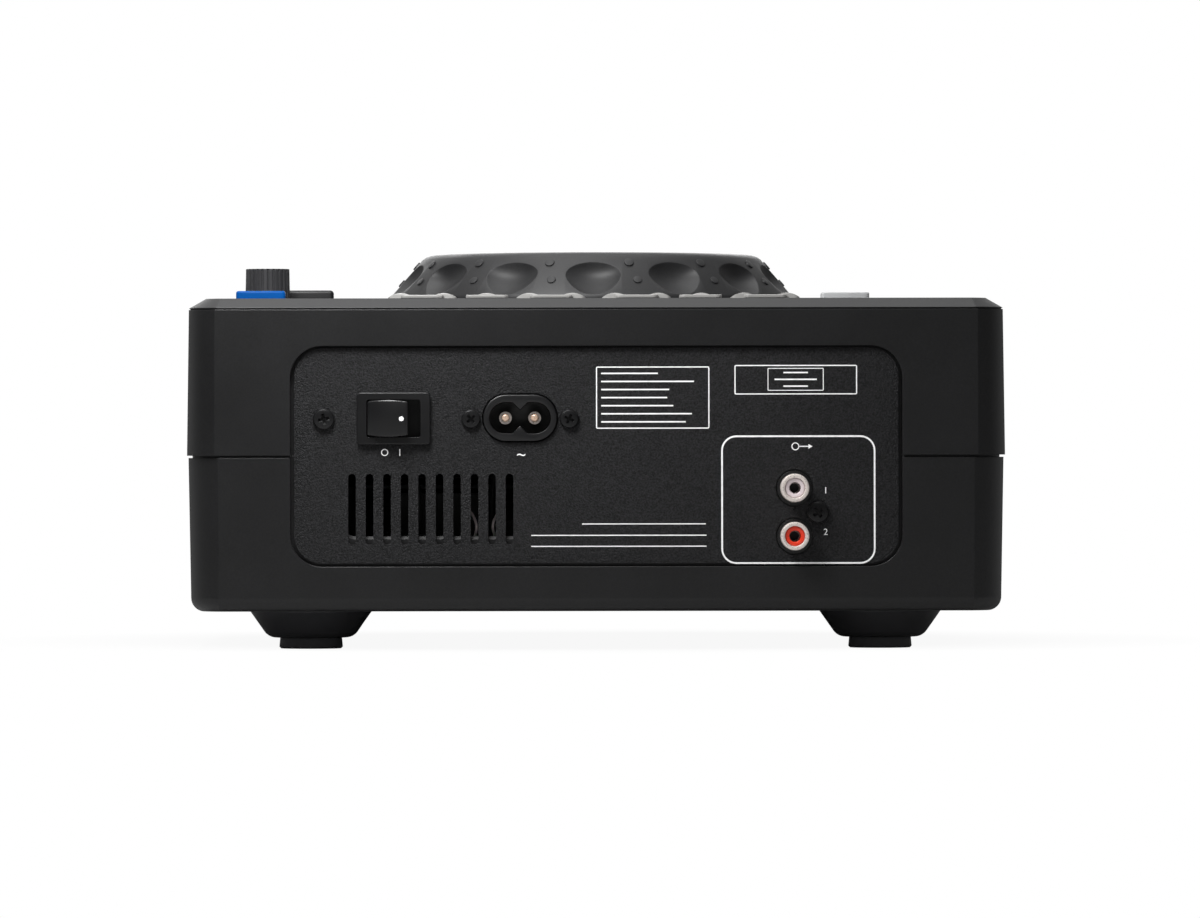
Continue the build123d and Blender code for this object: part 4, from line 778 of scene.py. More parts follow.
# ---------------------------------------------------------------- prints
@dataclass
class Printer:
    """Lays thin screen-printed shapes on a flat face."""

    level: float
    facing: Facing
    bar_corner: float = 0.2
    type_size: float = 1.4

    def to_face(self, across: float, along: float) -> Vector:
        """Turns a place on the face, in millimetres, into a point of the frame.

        Args:
            across: Place across the face.
            along: Place up or along the face.

        Returns:
            The point, in metres.
        """
        if self.facing is Facing.UP:
            return Vector((across * MM, along * MM, self.level))
        return Vector((across * MM, self.level, along * MM))

    def sheet(self, name: str, width: float, height: float) -> Piece:
        """Flat rectangle at the origin, in millimetres.

        Args:
            name: The new piece's name.
            width: Its width, in millimetres.
            height: Its height, in millimetres.

        Returns:
            The new piece, settled.
        """
        piece = add_piece(bpy.ops.mesh.primitive_plane_add, name, size=1.0, location=(0, 0, 0))
        piece.scale = (width * MM, height * MM, 1.0)
        return settle(piece)

    def lay(self, piece: Piece, across: float, along: float) -> Piece:
        """Gives a flat outline its thickness, turns it to face out, and puts it on the face.

        Args:
            piece: The outline, drawn flat at the origin.
            across: Its middle across the face, in millimetres.
            along: Its middle up or along the face, in millimetres.

        Returns:
            The new piece, settled.
        """
        finish_with(piece, "SOLIDIFY", thickness=INK_THICKNESS, offset=1.0)
        piece.rotation_euler = self.facing.value
        piece.location = self.to_face(across, along)
        return settle(piece)

    def bar(self, name: str, across: float, along: float, width: float, height: float) -> Piece:
        """Solid bar, middle and size in millimetres, with slightly rounded corners.

        Args:
            name: The new piece's name.
            across: Its middle across the face, in millimetres.
            along: Its middle up or along the face, in millimetres.
            width: Its width, in millimetres.
            height: Its height, in millimetres.

        Returns:
            The new piece, settled.
        """
        piece = self.sheet(name, width, height)
        with editing(piece, Pick.VERT):
            bpy.ops.mesh.select_all(action="SELECT")
            bpy.ops.mesh.bevel(offset=min(width, height) * self.bar_corner * MM, segments=2,
                               affect="VERTICES")
        return self.lay(piece, across, along)

    def outline(self, name: str, across: float, along: float, width: float, height: float, corner: float,
                line: float) -> Piece:
        """Rounded rectangle drawn as a line, its middle and outer size in millimetres.

        Args:
            name: The new piece's name.
            across: Its middle across the face, in millimetres.
            along: Its middle up or along the face, in millimetres.
            width: Its width, in millimetres.
            height: Its height, in millimetres.
            corner: Radius of its corners, in millimetres.
            line: Width of the line, in millimetres.

        Returns:
            The new piece, settled.
        """
        piece = self.sheet(name, width, height)
        with editing(piece, Pick.VERT):
            bpy.ops.mesh.select_all(action="SELECT")
            bpy.ops.mesh.bevel(offset=corner * MM, segments=8, affect="VERTICES")
            bpy.ops.mesh.select_mode(type="FACE")
            bpy.ops.mesh.select_all(action="SELECT")
            bpy.ops.mesh.inset(thickness=line * MM)
            bpy.ops.mesh.delete(type="FACE")
        return self.lay(piece, across, along)

    def ring(self, name: str, across: float, along: float, radius: float, line: float,
             steps: int = 48) -> Piece:
        """Circle drawn as a line, in millimetres.

        Args:
            name: The new piece's name.
            across: Its middle across the face, in millimetres.
            along: Its middle up or along the face, in millimetres.
            radius: Its outer radius, in millimetres.
            line: Width of the line, in millimetres.
            steps: Edges around it.

        Returns:
            The new piece, settled.
        """
        piece = add_piece(bpy.ops.mesh.primitive_circle_add, name, vertices=steps, radius=radius * MM,
                          fill_type="NGON")
        with editing(piece):
            bpy.ops.mesh.select_all(action="SELECT")
            bpy.ops.mesh.inset(thickness=line * MM)
            bpy.ops.mesh.delete(type="FACE")
        return self.lay(piece, across, along)

    def triangle(self, name: str, across: float, along: float, radius: float,
                 turn: float = 0.0) -> Piece:
        """Solid triangle that points along +X before the turn in degrees.

        Args:
            name: The new piece's name.
            across: Its middle across the face, in millimetres.
            along: Its middle up or along the face, in millimetres.
            radius: Distance from its middle to a corner, in millimetres.
            turn: Its turn in degrees.

        Returns:
            The new piece, settled.
        """
        piece = add_piece(bpy.ops.mesh.primitive_circle_add, name, vertices=3, radius=radius * MM,
                          fill_type="NGON", rotation=(0, 0, math.radians(turn - 90.0)))
        return self.lay(piece, across, along)

    def numeral(self, name: str, across: float, along: float, text: str, height: float) -> Piece:
        """Plain numeral or sign, in millimetres.

        Args:
            name: The new piece's name.
            across: Its middle across the face, in millimetres.
            along: Its middle up or along the face, in millimetres.
            text: What it says.
            height: Its height, in millimetres.

        Returns:
            The new piece, settled.
        """
        deselect_all()
        bpy.ops.object.text_add(location=(0, 0, 0))
        piece = bpy.context.active_object
        piece.data.body = text
        piece.data.align_x = "CENTER"
        piece.data.align_y = "CENTER"
        piece.data.size = height * self.type_size * MM
        piece.data.resolution_u = 6
        bpy.ops.object.convert(target="MESH")
        return self.lay(settle(newest(name)), across, along)


@dataclass
class RearPanel(SubAssembly):
    """Rear panel: its prints and screws. Places are in millimetres on the panel."""

    frame_a: tuple[float, float, float, float] = (-16.4, 73.45, 33.0, 18.1)
    frame_b: tuple[float, float, float, float] = (-58.05, 78.6, 35.7, 8.6)
    box_b: tuple[float, float, float, float] = (-58.0, 78.7, 16.3, 6.6)
    output_frame: tuple[float, float, float, float] = (-58.75, 43.7, 44.9, 37.4)
    output_corner: float = 4.4
    row_shares: tuple[float, ...] = (0.55, 0.9, 0.66, 0.64, 0.7, 0.88, 0.82)
    row_margin: float = 1.5
    box_rows: tuple[float, ...] = (0.5, 0.86, 0.5)
    thick_line: float = 0.42
    thin_line: float = 0.3
    switch_label: tuple[float, float] = (59.4, 57.6)
    inlet_label: tuple[float, float] = (21.9, 57.6)
    output_label: tuple[float, float] = (-59.3, 59.2)
    jack_labels: tuple[tuple[float, float], ...] = ((-66.7, 46.3), (-66.7, 34.2))
    address_rows: tuple[tuple[float, float, float], ...] = (
        (-13.8, 36.7, 36.0), (-6.5, 33.4, 51.0), (-6.5, 30.2, 51.0))
    screw_places: tuple[tuple[float, float, float, float], ...] = (
        (79.3, 67.3, 3.2, 12.0), (36.5, 67.3, 2.85, 40.0), (7.9, 67.3, 2.85, -25.0), (-64.5, 40.0, 3.2, 33.0))
    screw_height: float = 1.45
    screw_shank: float = 8.0
    screw_section: tuple[tuple[float, float], ...] = (
        (0.98, 0.0), (1.0, 0.25), (0.97, 0.6), (0.86, 0.88), (0.66, 1.0), (0.05, 1.02))
    cross_size: tuple[float, float] = (1.3, 0.36)
    cross_draft: float = 0.55

    def build(self) -> None:
        """Makes the prints and screws."""
        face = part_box("rear_panel")[1].y
        printer = Printer(face, Facing.REAR)
        shapes = [
            printer.outline("frame_a", *self.frame_a, 0.5, 0.32),
            printer.outline("frame_b", *self.frame_b, 0.5, 0.32),
            printer.outline("box_b", *self.box_b, 0.3, 0.22),
            printer.outline("output_frame", *self.output_frame, self.output_corner, 0.5),
        ]
        shapes += self.ruled_lines(printer)
        shapes += self.signs(printer)
        self.place(joined(shapes, "panel_print"), WHITE_INK, "white_insulator")
        self.screws(face)

    def ruled_lines(self, printer: Printer) -> list[Piece]:
        """Plain ruled lines inside the frames and at the foot of the panel.

        Args:
            printer: The printer for the face.

        Returns:
            The lines.
        """
        lines = []
        across, along, width, height = self.frame_a
        pitch = height / (len(self.row_shares) + 0.7)
        for row, share in enumerate(self.row_shares):
            span = (width - 2 * self.row_margin) * share
            left = across + width / 2 - self.row_margin
            level = along + height / 2 - pitch * (row + 0.85)
            lines.append(printer.bar("line_a", left - span / 2, level, span, self.thick_line))
        across, along, width, height = self.box_b
        for row, share in enumerate(self.box_rows):
            level = along + (1 - row) * height * 0.3
            lines.append(printer.bar("line_b", across, level, (width - 2.0) * share, self.thick_line))
        lines += [printer.bar("line_c", *row, self.thin_line) for row in self.address_rows]
        return lines

    def signs(self, printer: Printer) -> list[Piece]:
        """Plain signs: on and off, alternating current, output arrow, and numerals beside the jacks.

        Args:
            printer: The printer for the face.

        Returns:
            The signs.
        """
        x, z = self.switch_label
        shapes = [printer.ring("on_ring", x + 2.2, z, 1.05, 0.28, 32),
                  printer.bar("on_bar", x - 2.2, z, 0.3, 2.0)]
        x, z = self.inlet_label
        shapes.append(printer.numeral("wave_sign", x, z - 0.6, "~", 3.2))
        x, z = self.output_label
        shapes.append(printer.ring("out_ring", x + 1.4, z, 1.15, 0.28, 32))
        shapes.append(printer.bar("out_stem", x - 0.9, z, 3.0, 0.3))
        shapes.append(printer.triangle("out_head", x - 2.8, z, 0.8, 0.0))
        for index, (x, z) in enumerate(self.jack_labels):
            shapes.append(printer.numeral("jack_number", x, z, str(index + 1), 1.9))
        return shapes

    def screws(self, face: float) -> None:
        """Pan-head screws with a cross recess, one made for each place.

        Args:
            face: Depth of the panel's outer face.
        """
        heads = [self.screw_head(Vector((x * MM, face, z * MM)), radius * MM, math.radians(turn))
                 for x, z, radius, turn in self.screw_places]
        self.place(joined(heads, "panel_screws"), BLACK_SCREW, "black_steel", stands_for=("rear_screws",))

    def screw_head(self, place: Vector, radius: float, turn: float) -> Piece:
        """One screw with its head on the panel.

        Args:
            place: Middle of the head where it meets the panel.
            radius: Radius of the head.
            turn: Turn of the cross recess.

        Returns:
            The screw, settled.
        """
        height, shank = self.screw_height * MM, radius * 0.44
        profile = [(shank, -self.screw_shank * MM), (shank, 0.0)]
        profile += [(radius * reach, height * rise) for reach, rise in self.screw_section]
        head = turned_piece("screw", profile, Vector((0, 0, 0)), 36)
        close_ends(head)
        length, width = self.cross_size
        for index in range(2):
            arm = add_piece(bpy.ops.mesh.primitive_cube_add, "cross", size=1.0, location=(0, 0, height),
                            rotation=(0, 0, turn + index * math.pi / 2),
                            scale=(radius * length, radius * width, height * 1.5))
            with editing(arm):
                choose(arm, Pick.FACE, lambda f: f.normal.z < -0.5)
                bpy.ops.transform.resize(value=(self.cross_draft, self.cross_draft, 1.0),
                                         center_override=(0, 0, 0))
            carve(head, arm)
        head.rotation_euler = Facing.REAR.value
        head.location = place
        return settle(head)


@dataclass
class MainsInlet(SubAssembly):
    """Figure-8 mains inlet, in millimetres on the panel."""

    centre: tuple[float, float] = (22.2, 67.6)
    collar: tuple[float, float] = (21.4, 13.5)
    cavity: tuple[float, float] = (17.9, 9.1)
    rib: float = 2.2
    flange: tuple[float, float] = (36.0, 15.0)
    flange_depths: tuple[float, float] = (4.1, 2.5)
    pin_spacing: float = 8.5
    pin_hole: float = 1.25
    pin_radius: float = 1.2
    pin_depths: tuple[float, float] = (30.0, 1.8)
    pin_tip: float = 0.75
    pin_collar: tuple[float, float] = (1.22, 1.85)
    pin_collar_front: float = 4.0
    depth: float = 12.0
    rounding: float = 0.18

    @property
    def pin_places(self) -> tuple[float, ...]:
        """Where the two pins stand across the panel, in metres."""
        return tuple((self.centre[0] + side * self.pin_spacing / 2) * MM for side in (-1, 1))

    def build(self) -> None:
        """Makes the housing and the pins."""
        low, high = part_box("inlet_housing")
        face, z = high.y, self.centre[1] * MM
        body = self.stadium("inlet_collar", self.collar, low.y, face, 0.35)
        back, front = (face - depth * MM for depth in self.flange_depths)
        carve(body, self.stadium("inlet_flange", self.flange, back, front, 0.1), "UNION")
        carve(body, self.figure_eight(face - self.depth * MM, face + 2 * MM))
        for across in self.pin_places:
            carve(body, peg_along_y("hole", across, z, self.pin_hole * MM, low.y - MM, face, 32))
        soften(body, self.rounding * MM, 2, 50.0)
        self.place(body, NYLON, "black_nylon", stands_for=("inlet_housing",))
        self.pins(face)

    def stadium(self, name: str, size: tuple[float, float], y0: float, y1: float,
                edge: float) -> Piece:
        """Bar with round ends, pushed through from y0 to y1.

        Args:
            name: The new piece's name.
            size: Width and height, in millimetres.
            y0: Depth of its front end.
            y1: Depth of its rear end.
            edge: Rounding of its rear edge, in millimetres.

        Returns:
            The new piece, settled.
        """
        width, height = (s * MM for s in size)
        x, z = (c * MM for c in self.centre)
        piece = add_piece(bpy.ops.mesh.primitive_cube_add, name, size=1.0, location=(x, (y0 + y1) / 2, z),
                          scale=(width, y1 - y0, height))
        with editing(piece, Pick.EDGE):
            choose(piece, Pick.EDGE, lambda e: bar_ends(e, 1) > (y1 - y0) / 2)
            bpy.ops.mesh.bevel(offset=height / 2 * 0.998, segments=16, affect="EDGES")
            choose(piece, Pick.EDGE, lambda e: min(v.co.y for v in e.verts) > y1 - 1e-6)
            bpy.ops.mesh.bevel(offset=edge * MM, segments=3, affect="EDGES")
        return piece

    def figure_eight(self, y0: float, y1: float) -> Piece:
        """Cutter for the cavity: a bar with round ends, less a wedge-shaped rib above and below.

        Args:
            y0: Depth of its front end.
            y1: Depth of its rear end.

        Returns:
            The new piece, settled.
        """
        shape = self.stadium("cavity", self.cavity, y0, y1, 0.1)
        side_length = self.rib * math.sqrt(2) * MM
        for side in (-1, 1):
            edge = (self.centre[1] + side * self.cavity[1] / 2) * MM
            carve(shape, add_piece(bpy.ops.mesh.primitive_cube_add, "rib", size=1.0,
                                   location=(self.centre[0] * MM, (y0 + y1) / 2, edge),
                                   rotation=(0, math.pi / 4, 0),
                                   scale=(side_length, y1 - y0 + MM, side_length)))
        return shape

    def pins(self, face: float) -> None:
        """Two contact pins, each in a bright collar at the bottom of the cavity.

        Args:
            face: Depth of the panel's outer face.
        """
        z = self.centre[1] * MM
        back, tip = (face - depth * MM for depth in self.pin_depths)
        bore, outer = (radius * MM for radius in self.pin_collar)
        pins, collars = [], []
        for across in self.pin_places:
            pin = peg_along_y("pin", across, z, self.pin_radius * MM, back, tip, 32)
            with editing(pin, Pick.EDGE):
                choose(pin, Pick.EDGE, lambda e: min(v.co.y for v in e.verts) > tip - MM)
                bpy.ops.mesh.bevel(offset=self.pin_tip * MM, segments=4, affect="EDGES")
            pins.append(pin)
            collar = peg_along_y("collar", across, z, outer, face - self.depth * MM,
                                 face - self.pin_collar_front * MM, 32)
            carve(collar, peg_along_y("bore", across, z, bore, face - 13 * MM, face - 5 * MM, 32))
            collars.append(collar)
        self.place(joined(pins, "inlet_pin_pair"), BRASS, "pin_brass", stands_for=("inlet_pins",))
        self.place(joined(collars, "inlet_pin_collars"), NICKEL, "jack_plate")


@dataclass
class PowerSwitch(SubAssembly):
    """Rocker switch: fan-shaped rocker with a crowned face and a white dot."""

    pivot: tuple[float, float, float] = (59.0, 133.35, 67.5)
    middle_height: float = 10.7
    end_height: float = 9.8
    reach: float = 11.0
    spread: float = math.radians(33.8)
    crown: float = 0.6
    hub: float = 2.4
    tilt: float = math.radians(-11.0)
    barrels: tuple[tuple[float, float], ...] = ((2.4, 10.7), (1.2, 12.3))
    rounding: float = 0.4
    dot: tuple[float, float] = (56.7, 67.4)
    dot_radius: float = 0.7
    columns: int = 12

    def build(self) -> None:
        """Makes the rocker and its dot."""
        self.place(self.rocker(), NYLON, "black_nylon", "rocker", ("power_rocker",))
        self.place(self.mark(), WHITE_INK, "white_insulator", "rocker")

    def rocker(self) -> Piece:
        """Rocker in its pressed place: a block drawn in to the hub, its face and ends crowned.

        Returns:
            The new piece, settled.
        """
        half, top = self.reach * math.sin(self.spread) * MM, self.reach * math.cos(self.spread) * MM
        piece = add_piece(bpy.ops.mesh.primitive_cube_add, "rocker_key", size=1.0, location=(0, top / 2, 0),
                          scale=(2 * half, top, self.end_height * MM))
        with editing(piece, Pick.EDGE):
            choose(piece, Pick.EDGE, lambda e: bar_ends(e, 0) > half)
            bpy.ops.mesh.subdivide(number_cuts=self.columns - 1)
            for column in range(1, self.columns):
                place = (2 * column / self.columns - 1) * half
                swell = 1.0 - (place / half) ** 2
                taller = 1.0 + (self.middle_height / self.end_height - 1.0) * swell
                choose(piece, Pick.VERT, lambda v: abs(v.co.x - place) < 1e-6)
                bpy.ops.transform.resize(value=(1.0, 1.0, taller), center_override=(0, 0, 0))
                choose(piece, Pick.VERT, lambda v: abs(v.co.x - place) < 1e-6 and v.co.y > top / 2)
                bpy.ops.transform.translate(value=(0, self.crown * swell * MM, 0))
            choose(piece, Pick.VERT, lambda v: v.co.y < top / 2)
            bpy.ops.transform.resize(value=(self.hub * MM / half, 1.0, 1.0), center_override=(0, 0, 0))
        soften(piece, self.rounding * MM, 3, 40.0)
        for radius, length in self.barrels:
            barrel = add_piece(bpy.ops.mesh.primitive_cylinder_add, "rocker_hub", vertices=48,
                               radius=radius * MM, depth=length * MM, location=(0, 0, 0))
            carve(piece, barrel, "UNION")
        piece.rotation_euler = (0, 0, self.tilt)
        piece.location = [c * MM for c in self.pivot]
        return settle(piece)

    def mark(self) -> Piece:
        """White dot on the rocker's crowned face.

        Returns:
            The new piece, settled.
        """
        half, top = self.reach * math.sin(self.spread), self.reach * math.cos(self.spread)
        face_radius = (half ** 2 + self.crown ** 2) / (2 * self.crown)
        middle = Matrix.Rotation(self.tilt, 2) @ Vector((0, top + self.crown - face_radius))
        x, z = self.dot
        lean = math.asin((x - self.pivot[0] - middle.x) / face_radius)
        piece = add_piece(bpy.ops.mesh.primitive_circle_add, "rocker_dot", vertices=32,
                          radius=self.dot_radius * MM, fill_type="NGON")
        finish_with(piece, "SOLIDIFY", thickness=INK_THICKNESS, offset=1.0)
        piece.rotation_euler = Facing.REAR.value
        settle(piece)
        piece.rotation_euler = (0, 0, -lean)
        y = self.pivot[1] + middle.y + face_radius * math.cos(lean) + 0.01
        piece.location = (x * MM, y * MM, z * MM)
        return settle(piece)


@dataclass
class PhonoJacks(SubAssembly):
    """Two phono jacks: plated sleeves with a rolled lip, and their insulators."""

    across: float = -57.6
    levels: tuple[float, float] = (47.1, 33.1)
    outer: float = 4.15
    root: float = 3.6
    shoulder: float = 6.45
    groove: float = 0.12
    bore: float = 2.9
    hole: float = 1.65
    core_drop: float = 0.6

    def build(self) -> None:
        """Makes the sleeves and insulators."""
        low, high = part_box("jack_shells")
        sleeves = [self.sleeve(level, low.y, high.y) for level in self.levels]
        contacts = [self.contact(level, low.y) for level in self.levels]
        self.place(joined(sleeves + contacts, "jack_sleeves"), NICKEL, "jack_plate",
                   stands_for=("jack_shells",))
        for level, finish, colour in zip(self.levels, (WHITE_CORE, RED_CORE), ("white", "red")):
            core = self.core(level, low.y, high.y - self.core_drop * MM)
            self.place(core, finish, f"{colour}_insulator", stands_for=(f"jack_insulator_{colour}",))

    def contact(self, level: float, root: float) -> Piece:
        """Thin contact sleeve deep in the centre hole.

        Args:
            level: Height of the jack's axis, in millimetres.
            root: Depth of its front end.

        Returns:
            The new piece, settled.
        """
        outer, inner, deep = (self.hole - 0.02) * MM, (self.hole - 0.3) * MM, root + 3.0 * MM
        profile = [(inner, root), (outer, root), (outer, deep), (inner, deep)]
        return self.along_y(turned_piece("contact", profile, Vector((0, 0, 0)), 32, closed=True), level)

    def along_y(self, piece: Piece, level: float) -> Piece:
        """Lays a piece turned about Z down along +Y at one jack.

        Args:
            piece: The piece, drawn upright at the origin.
            level: Height of the jack's axis, in millimetres.

        Returns:
            The new piece, settled.
        """
        piece.rotation_euler = Facing.REAR.value
        piece.location = (self.across * MM, 0.0, level * MM)
        return settle(piece)

    def sleeve(self, level: float, root: float, tip: float) -> Piece:
        """Plated sleeve with a rolled lip and a shallow groove behind it.

        Args:
            level: Height of the jack's axis, in millimetres.
            root: Depth of its front end.
            tip: Depth of its rear end.

        Returns:
            The new piece, settled.
        """
        outer, bore, root_radius = self.outer, self.bore, self.root
        neck = outer - self.groove
        behind = [(bore, root), (root_radius, root), (root_radius, tip - self.shoulder * MM),
                  (outer, tip - self.shoulder * MM)]
        lip = [(outer, 2.6), (neck, 2.4), (neck, 1.9), (outer, 1.7), (outer, 0.45), (outer - 0.14, 0.13),
               (outer - 0.4, 0.0), (bore + 0.4, 0.0), (bore + 0.1, 0.15), (bore, 0.5)]
        profile = [(r * MM, y) for r, y in behind] + [(r * MM, tip - back * MM) for r, back in lip]
        return self.along_y(turned_piece("sleeve", profile, Vector((0, 0, 0)), 64, closed=True), level)

    def core(self, level: float, root: float, tip: float) -> Piece:
        """Insulator with a rounded mouth around the centre hole.

        Args:
            level: Height of the jack's axis, in millimetres.
            root: Depth of its front end.
            tip: Depth of its rear end.

        Returns:
            The new piece, settled.
        """
        outer, hole = (self.bore - 0.02) * MM, self.hole * MM
        profile = [(hole, root), (outer, root), (outer, tip - 0.2 * MM), (outer - 0.2 * MM, tip),
                   (hole + 0.35 * MM, tip), (hole + 0.08 * MM, tip - 0.12 * MM), (hole, tip - 0.4 * MM)]
        return self.along_y(turned_piece("jack_core", profile, Vector((0, 0, 0)), 48, closed=True), level)


# ---------------------------------------------------------------- jog wheel
@dataclass
class JogWheel(SubAssembly):
    """Jog wheel with finger scoops, studs and a brushed cap. Sizes are in millimetres."""

    body: str = "jog"
    centre_y: float = -9.0
    scoops: int = 14
    steps: int = 224
    base: tuple[float, float] = (62.1, 105.0)
    shoulder: tuple[float, float] = (52.4, 116.2)
    scoop_level: float = 110.05
    scoop_length: float = 13.1
    scoop_depth: float = 3.2
    scoop_axis_lift: float = 10.9
    high_stud: tuple[float, float, float] = (114.8, 1.45, -1.27)
    low_stud: tuple[float, float, float] = (109.5, 1.3, 0.35)
    stud_rise: float = 0.45
    section: tuple[tuple[float, float], ...] = (
        (4.0, 106.5), (9.0, 106.5), (9.0, 109.0), (46.5, 109.0), (57.0, 103.0), (61.6, 103.0), (62.0, 103.25),
        (62.1, 103.7), (62.1, 104.5), (61.85, 105.3), (52.85, 115.68), (52.0, 116.75), (50.9, 117.5),
        (49.5, 117.95), (47.5, 118.1), (42.9, 118.1), (42.4, 117.9), (42.3, 117.5), (42.3, 116.7),
        (4.0, 116.7))
    cap_radius: float = 42.0
    cap_levels: tuple[float, float] = (116.7, 117.7)
    cap_edge: float = 0.3
    cap_middle: tuple[float, float] = (4.2, 4.3)
    groove_radii: tuple[float, ...] = (39.5, 30.0, 18.0)
    groove_section: tuple[tuple[float, float], ...] = ((0.0, 0.0), (0.25, 0.3), (0.75, 0.3), (1.0, 0.0))
    dimple_radius: float = 26.0
    dimple_place: tuple[float, float] = (-24.5, 25.3)
    pointer: tuple[float, float, float] = (34.8, 1.4, 7.0)

    @property
    def lean(self) -> float:
        """Angle of the cone's side from upright."""
        return math.atan2(self.base[0] - self.shoulder[0], self.shoulder[1] - self.base[1])

    def side_radius(self, level: float) -> float:
        """Radius of the cone's side at a level."""
        return self.base[0] - (level - self.base[1]) * math.tan(self.lean)

    def build(self) -> None:
        """Makes the wheel, its studs and cap."""
        self.wheel()
        self.studs()
        self.cap()

    def around(self, piece: Piece, level: float, lift: float, turn: float) -> Piece:
        """Puts a piece drawn at the origin, its Z along the outward normal, on the cone's side.

        Args:
            piece: The piece, its Y across the slope and its X down it.
            level: Height on the cone, in millimetres.
            lift: How far the origin is above the side, in millimetres.
            turn: Angle about the wheel's axis.

        Returns:
            The piece, settled.
        """
        spot = Matrix.Translation((0, self.centre_y * MM, level * MM)) @ Matrix.Rotation(turn, 4, "Z")
        spot = spot @ Matrix.Translation((self.side_radius(level) * MM, 0, 0))
        spot = spot @ Matrix.Rotation(math.pi / 2 - self.lean, 4, "Y") @ Matrix.Translation((0, 0, lift * MM))
        piece.matrix_world = spot
        return settle(piece)

    def wheel(self) -> None:
        """Turned wheel with fourteen scoops cut in its side."""
        rings = [(r * MM, z * MM) for r, z in self.section]
        wheel = turned_piece("jog_ring", rings, Vector((0, self.centre_y * MM, 0)), self.steps, closed=True)
        cutters = []
        seed = self.scoop_tool()
        for index in range(self.scoops):
            turn = math.pi / 2 + index * 2 * math.pi / self.scoops
            cutters.append(self.around(copy_of(seed, "scoop"), self.scoop_level, self.scoop_axis_lift, turn))
        bpy.data.objects.remove(seed, do_unlink=True)
        carve(wheel, joined(cutters, "scoops"))
        tidy_mesh(wheel, 0.01 * MM)
        soften(wheel, 0.16 * MM, 2, 24.0)
        self.place(wheel, JOG, "jog_plastic", stands_for=("jog_wheel",), sharp=35.0)

    def scoop_tool(self) -> Piece:
        """Round tool whose axis runs along the slope, thickest near its upper end.

        Returns:
            The new piece, settled.
        """
        rings, steps = [], 26
        peak = max(self.scoop_swell(step / 100) for step in range(101))
        for step in range(steps + 1):
            along = step / steps
            radius = self.scoop_axis_lift + self.scoop_depth * self.scoop_swell(along) / peak
            rings.append((radius * MM, (along - 0.5) * self.scoop_length * MM))
        tool = turned_piece("scoop_tool", rings, Vector((0, 0, 0)), 160)
        close_ends(tool)
        tool.rotation_euler = (0.0, -math.pi / 2, 0.0)
        return settle(tool)

    @staticmethod
    def scoop_swell(along: float) -> float:
        """Depth of a scoop, from 0 at its lower point to 1 at its arched top."""
        return along ** 0.8 * (1.0 - along ** 4)

    def studs(self) -> None:
        """Small round studs between the scoops."""
        studs = []
        for level, radius, aside in (self.high_stud, self.low_stud):
            seed = add_piece(bpy.ops.mesh.primitive_cylinder_add, "stud_seed", vertices=40,
                             radius=radius * MM, depth=2 * self.stud_rise * MM)
            with editing(seed, Pick.EDGE):
                choose(seed, Pick.EDGE, lambda e: min(v.co.z for v in e.verts) > 0)
                bpy.ops.mesh.bevel(offset=0.12 * MM, segments=3, affect="EDGES")
            for index in range(self.scoops):
                turn = math.pi / 2 + (index + 0.5) * 2 * math.pi / self.scoops + math.radians(aside)
                studs.append(self.around(copy_of(seed, "stud"), level, 0.0, turn))
            bpy.data.objects.remove(seed, do_unlink=True)
        self.place(joined(studs, "jog_studs"), JOG, "jog_plastic")

    def cap(self) -> None:
        """Brushed disc with turned grooves, a finger dimple and a pointer line."""
        centre = Vector((0, self.centre_y * MM, 0))
        low, high = (z * MM for z in self.cap_levels)
        bore, plug_radius = (r * MM for r in self.cap_middle)
        rim, edge = self.cap_radius * MM, self.cap_edge * MM
        profile = [(bore, low), (rim, low), (rim, high - edge), (rim - edge, high)]
        for radius in self.groove_radii:
            profile += [((radius - inward) * MM, high - deep * MM) for inward, deep in self.groove_section]
        cap = turned_piece("jog_disc", profile + [(bore, high)], centre, 160, closed=True)
        plug = add_piece(bpy.ops.mesh.primitive_cylinder_add, "jog_disc_middle", vertices=48,
                         radius=plug_radius, depth=high - low, location=(0, centre.y, (low + high) / 2))
        carve(cap, plug, "UNION")
        forward, up = (d * MM for d in self.dimple_place)
        carve(cap, add_piece(bpy.ops.mesh.primitive_uv_sphere_add, "dimple", segments=96, ring_count=64,
                             radius=self.dimple_radius * MM, location=(0, centre.y + forward, high + up)))
        tidy_mesh(cap, 0.005 * MM)
        self.place(cap, JOG_CAP_METAL, "jog_cap_metal", stands_for=("jog_cap",))
        out, width, length = self.pointer
        pointer = Printer(high, Facing.UP).bar("jog_pointer", 0.0, self.centre_y + out, width, length)
        self.place(pointer, WHITE_INK, "white_insulator")


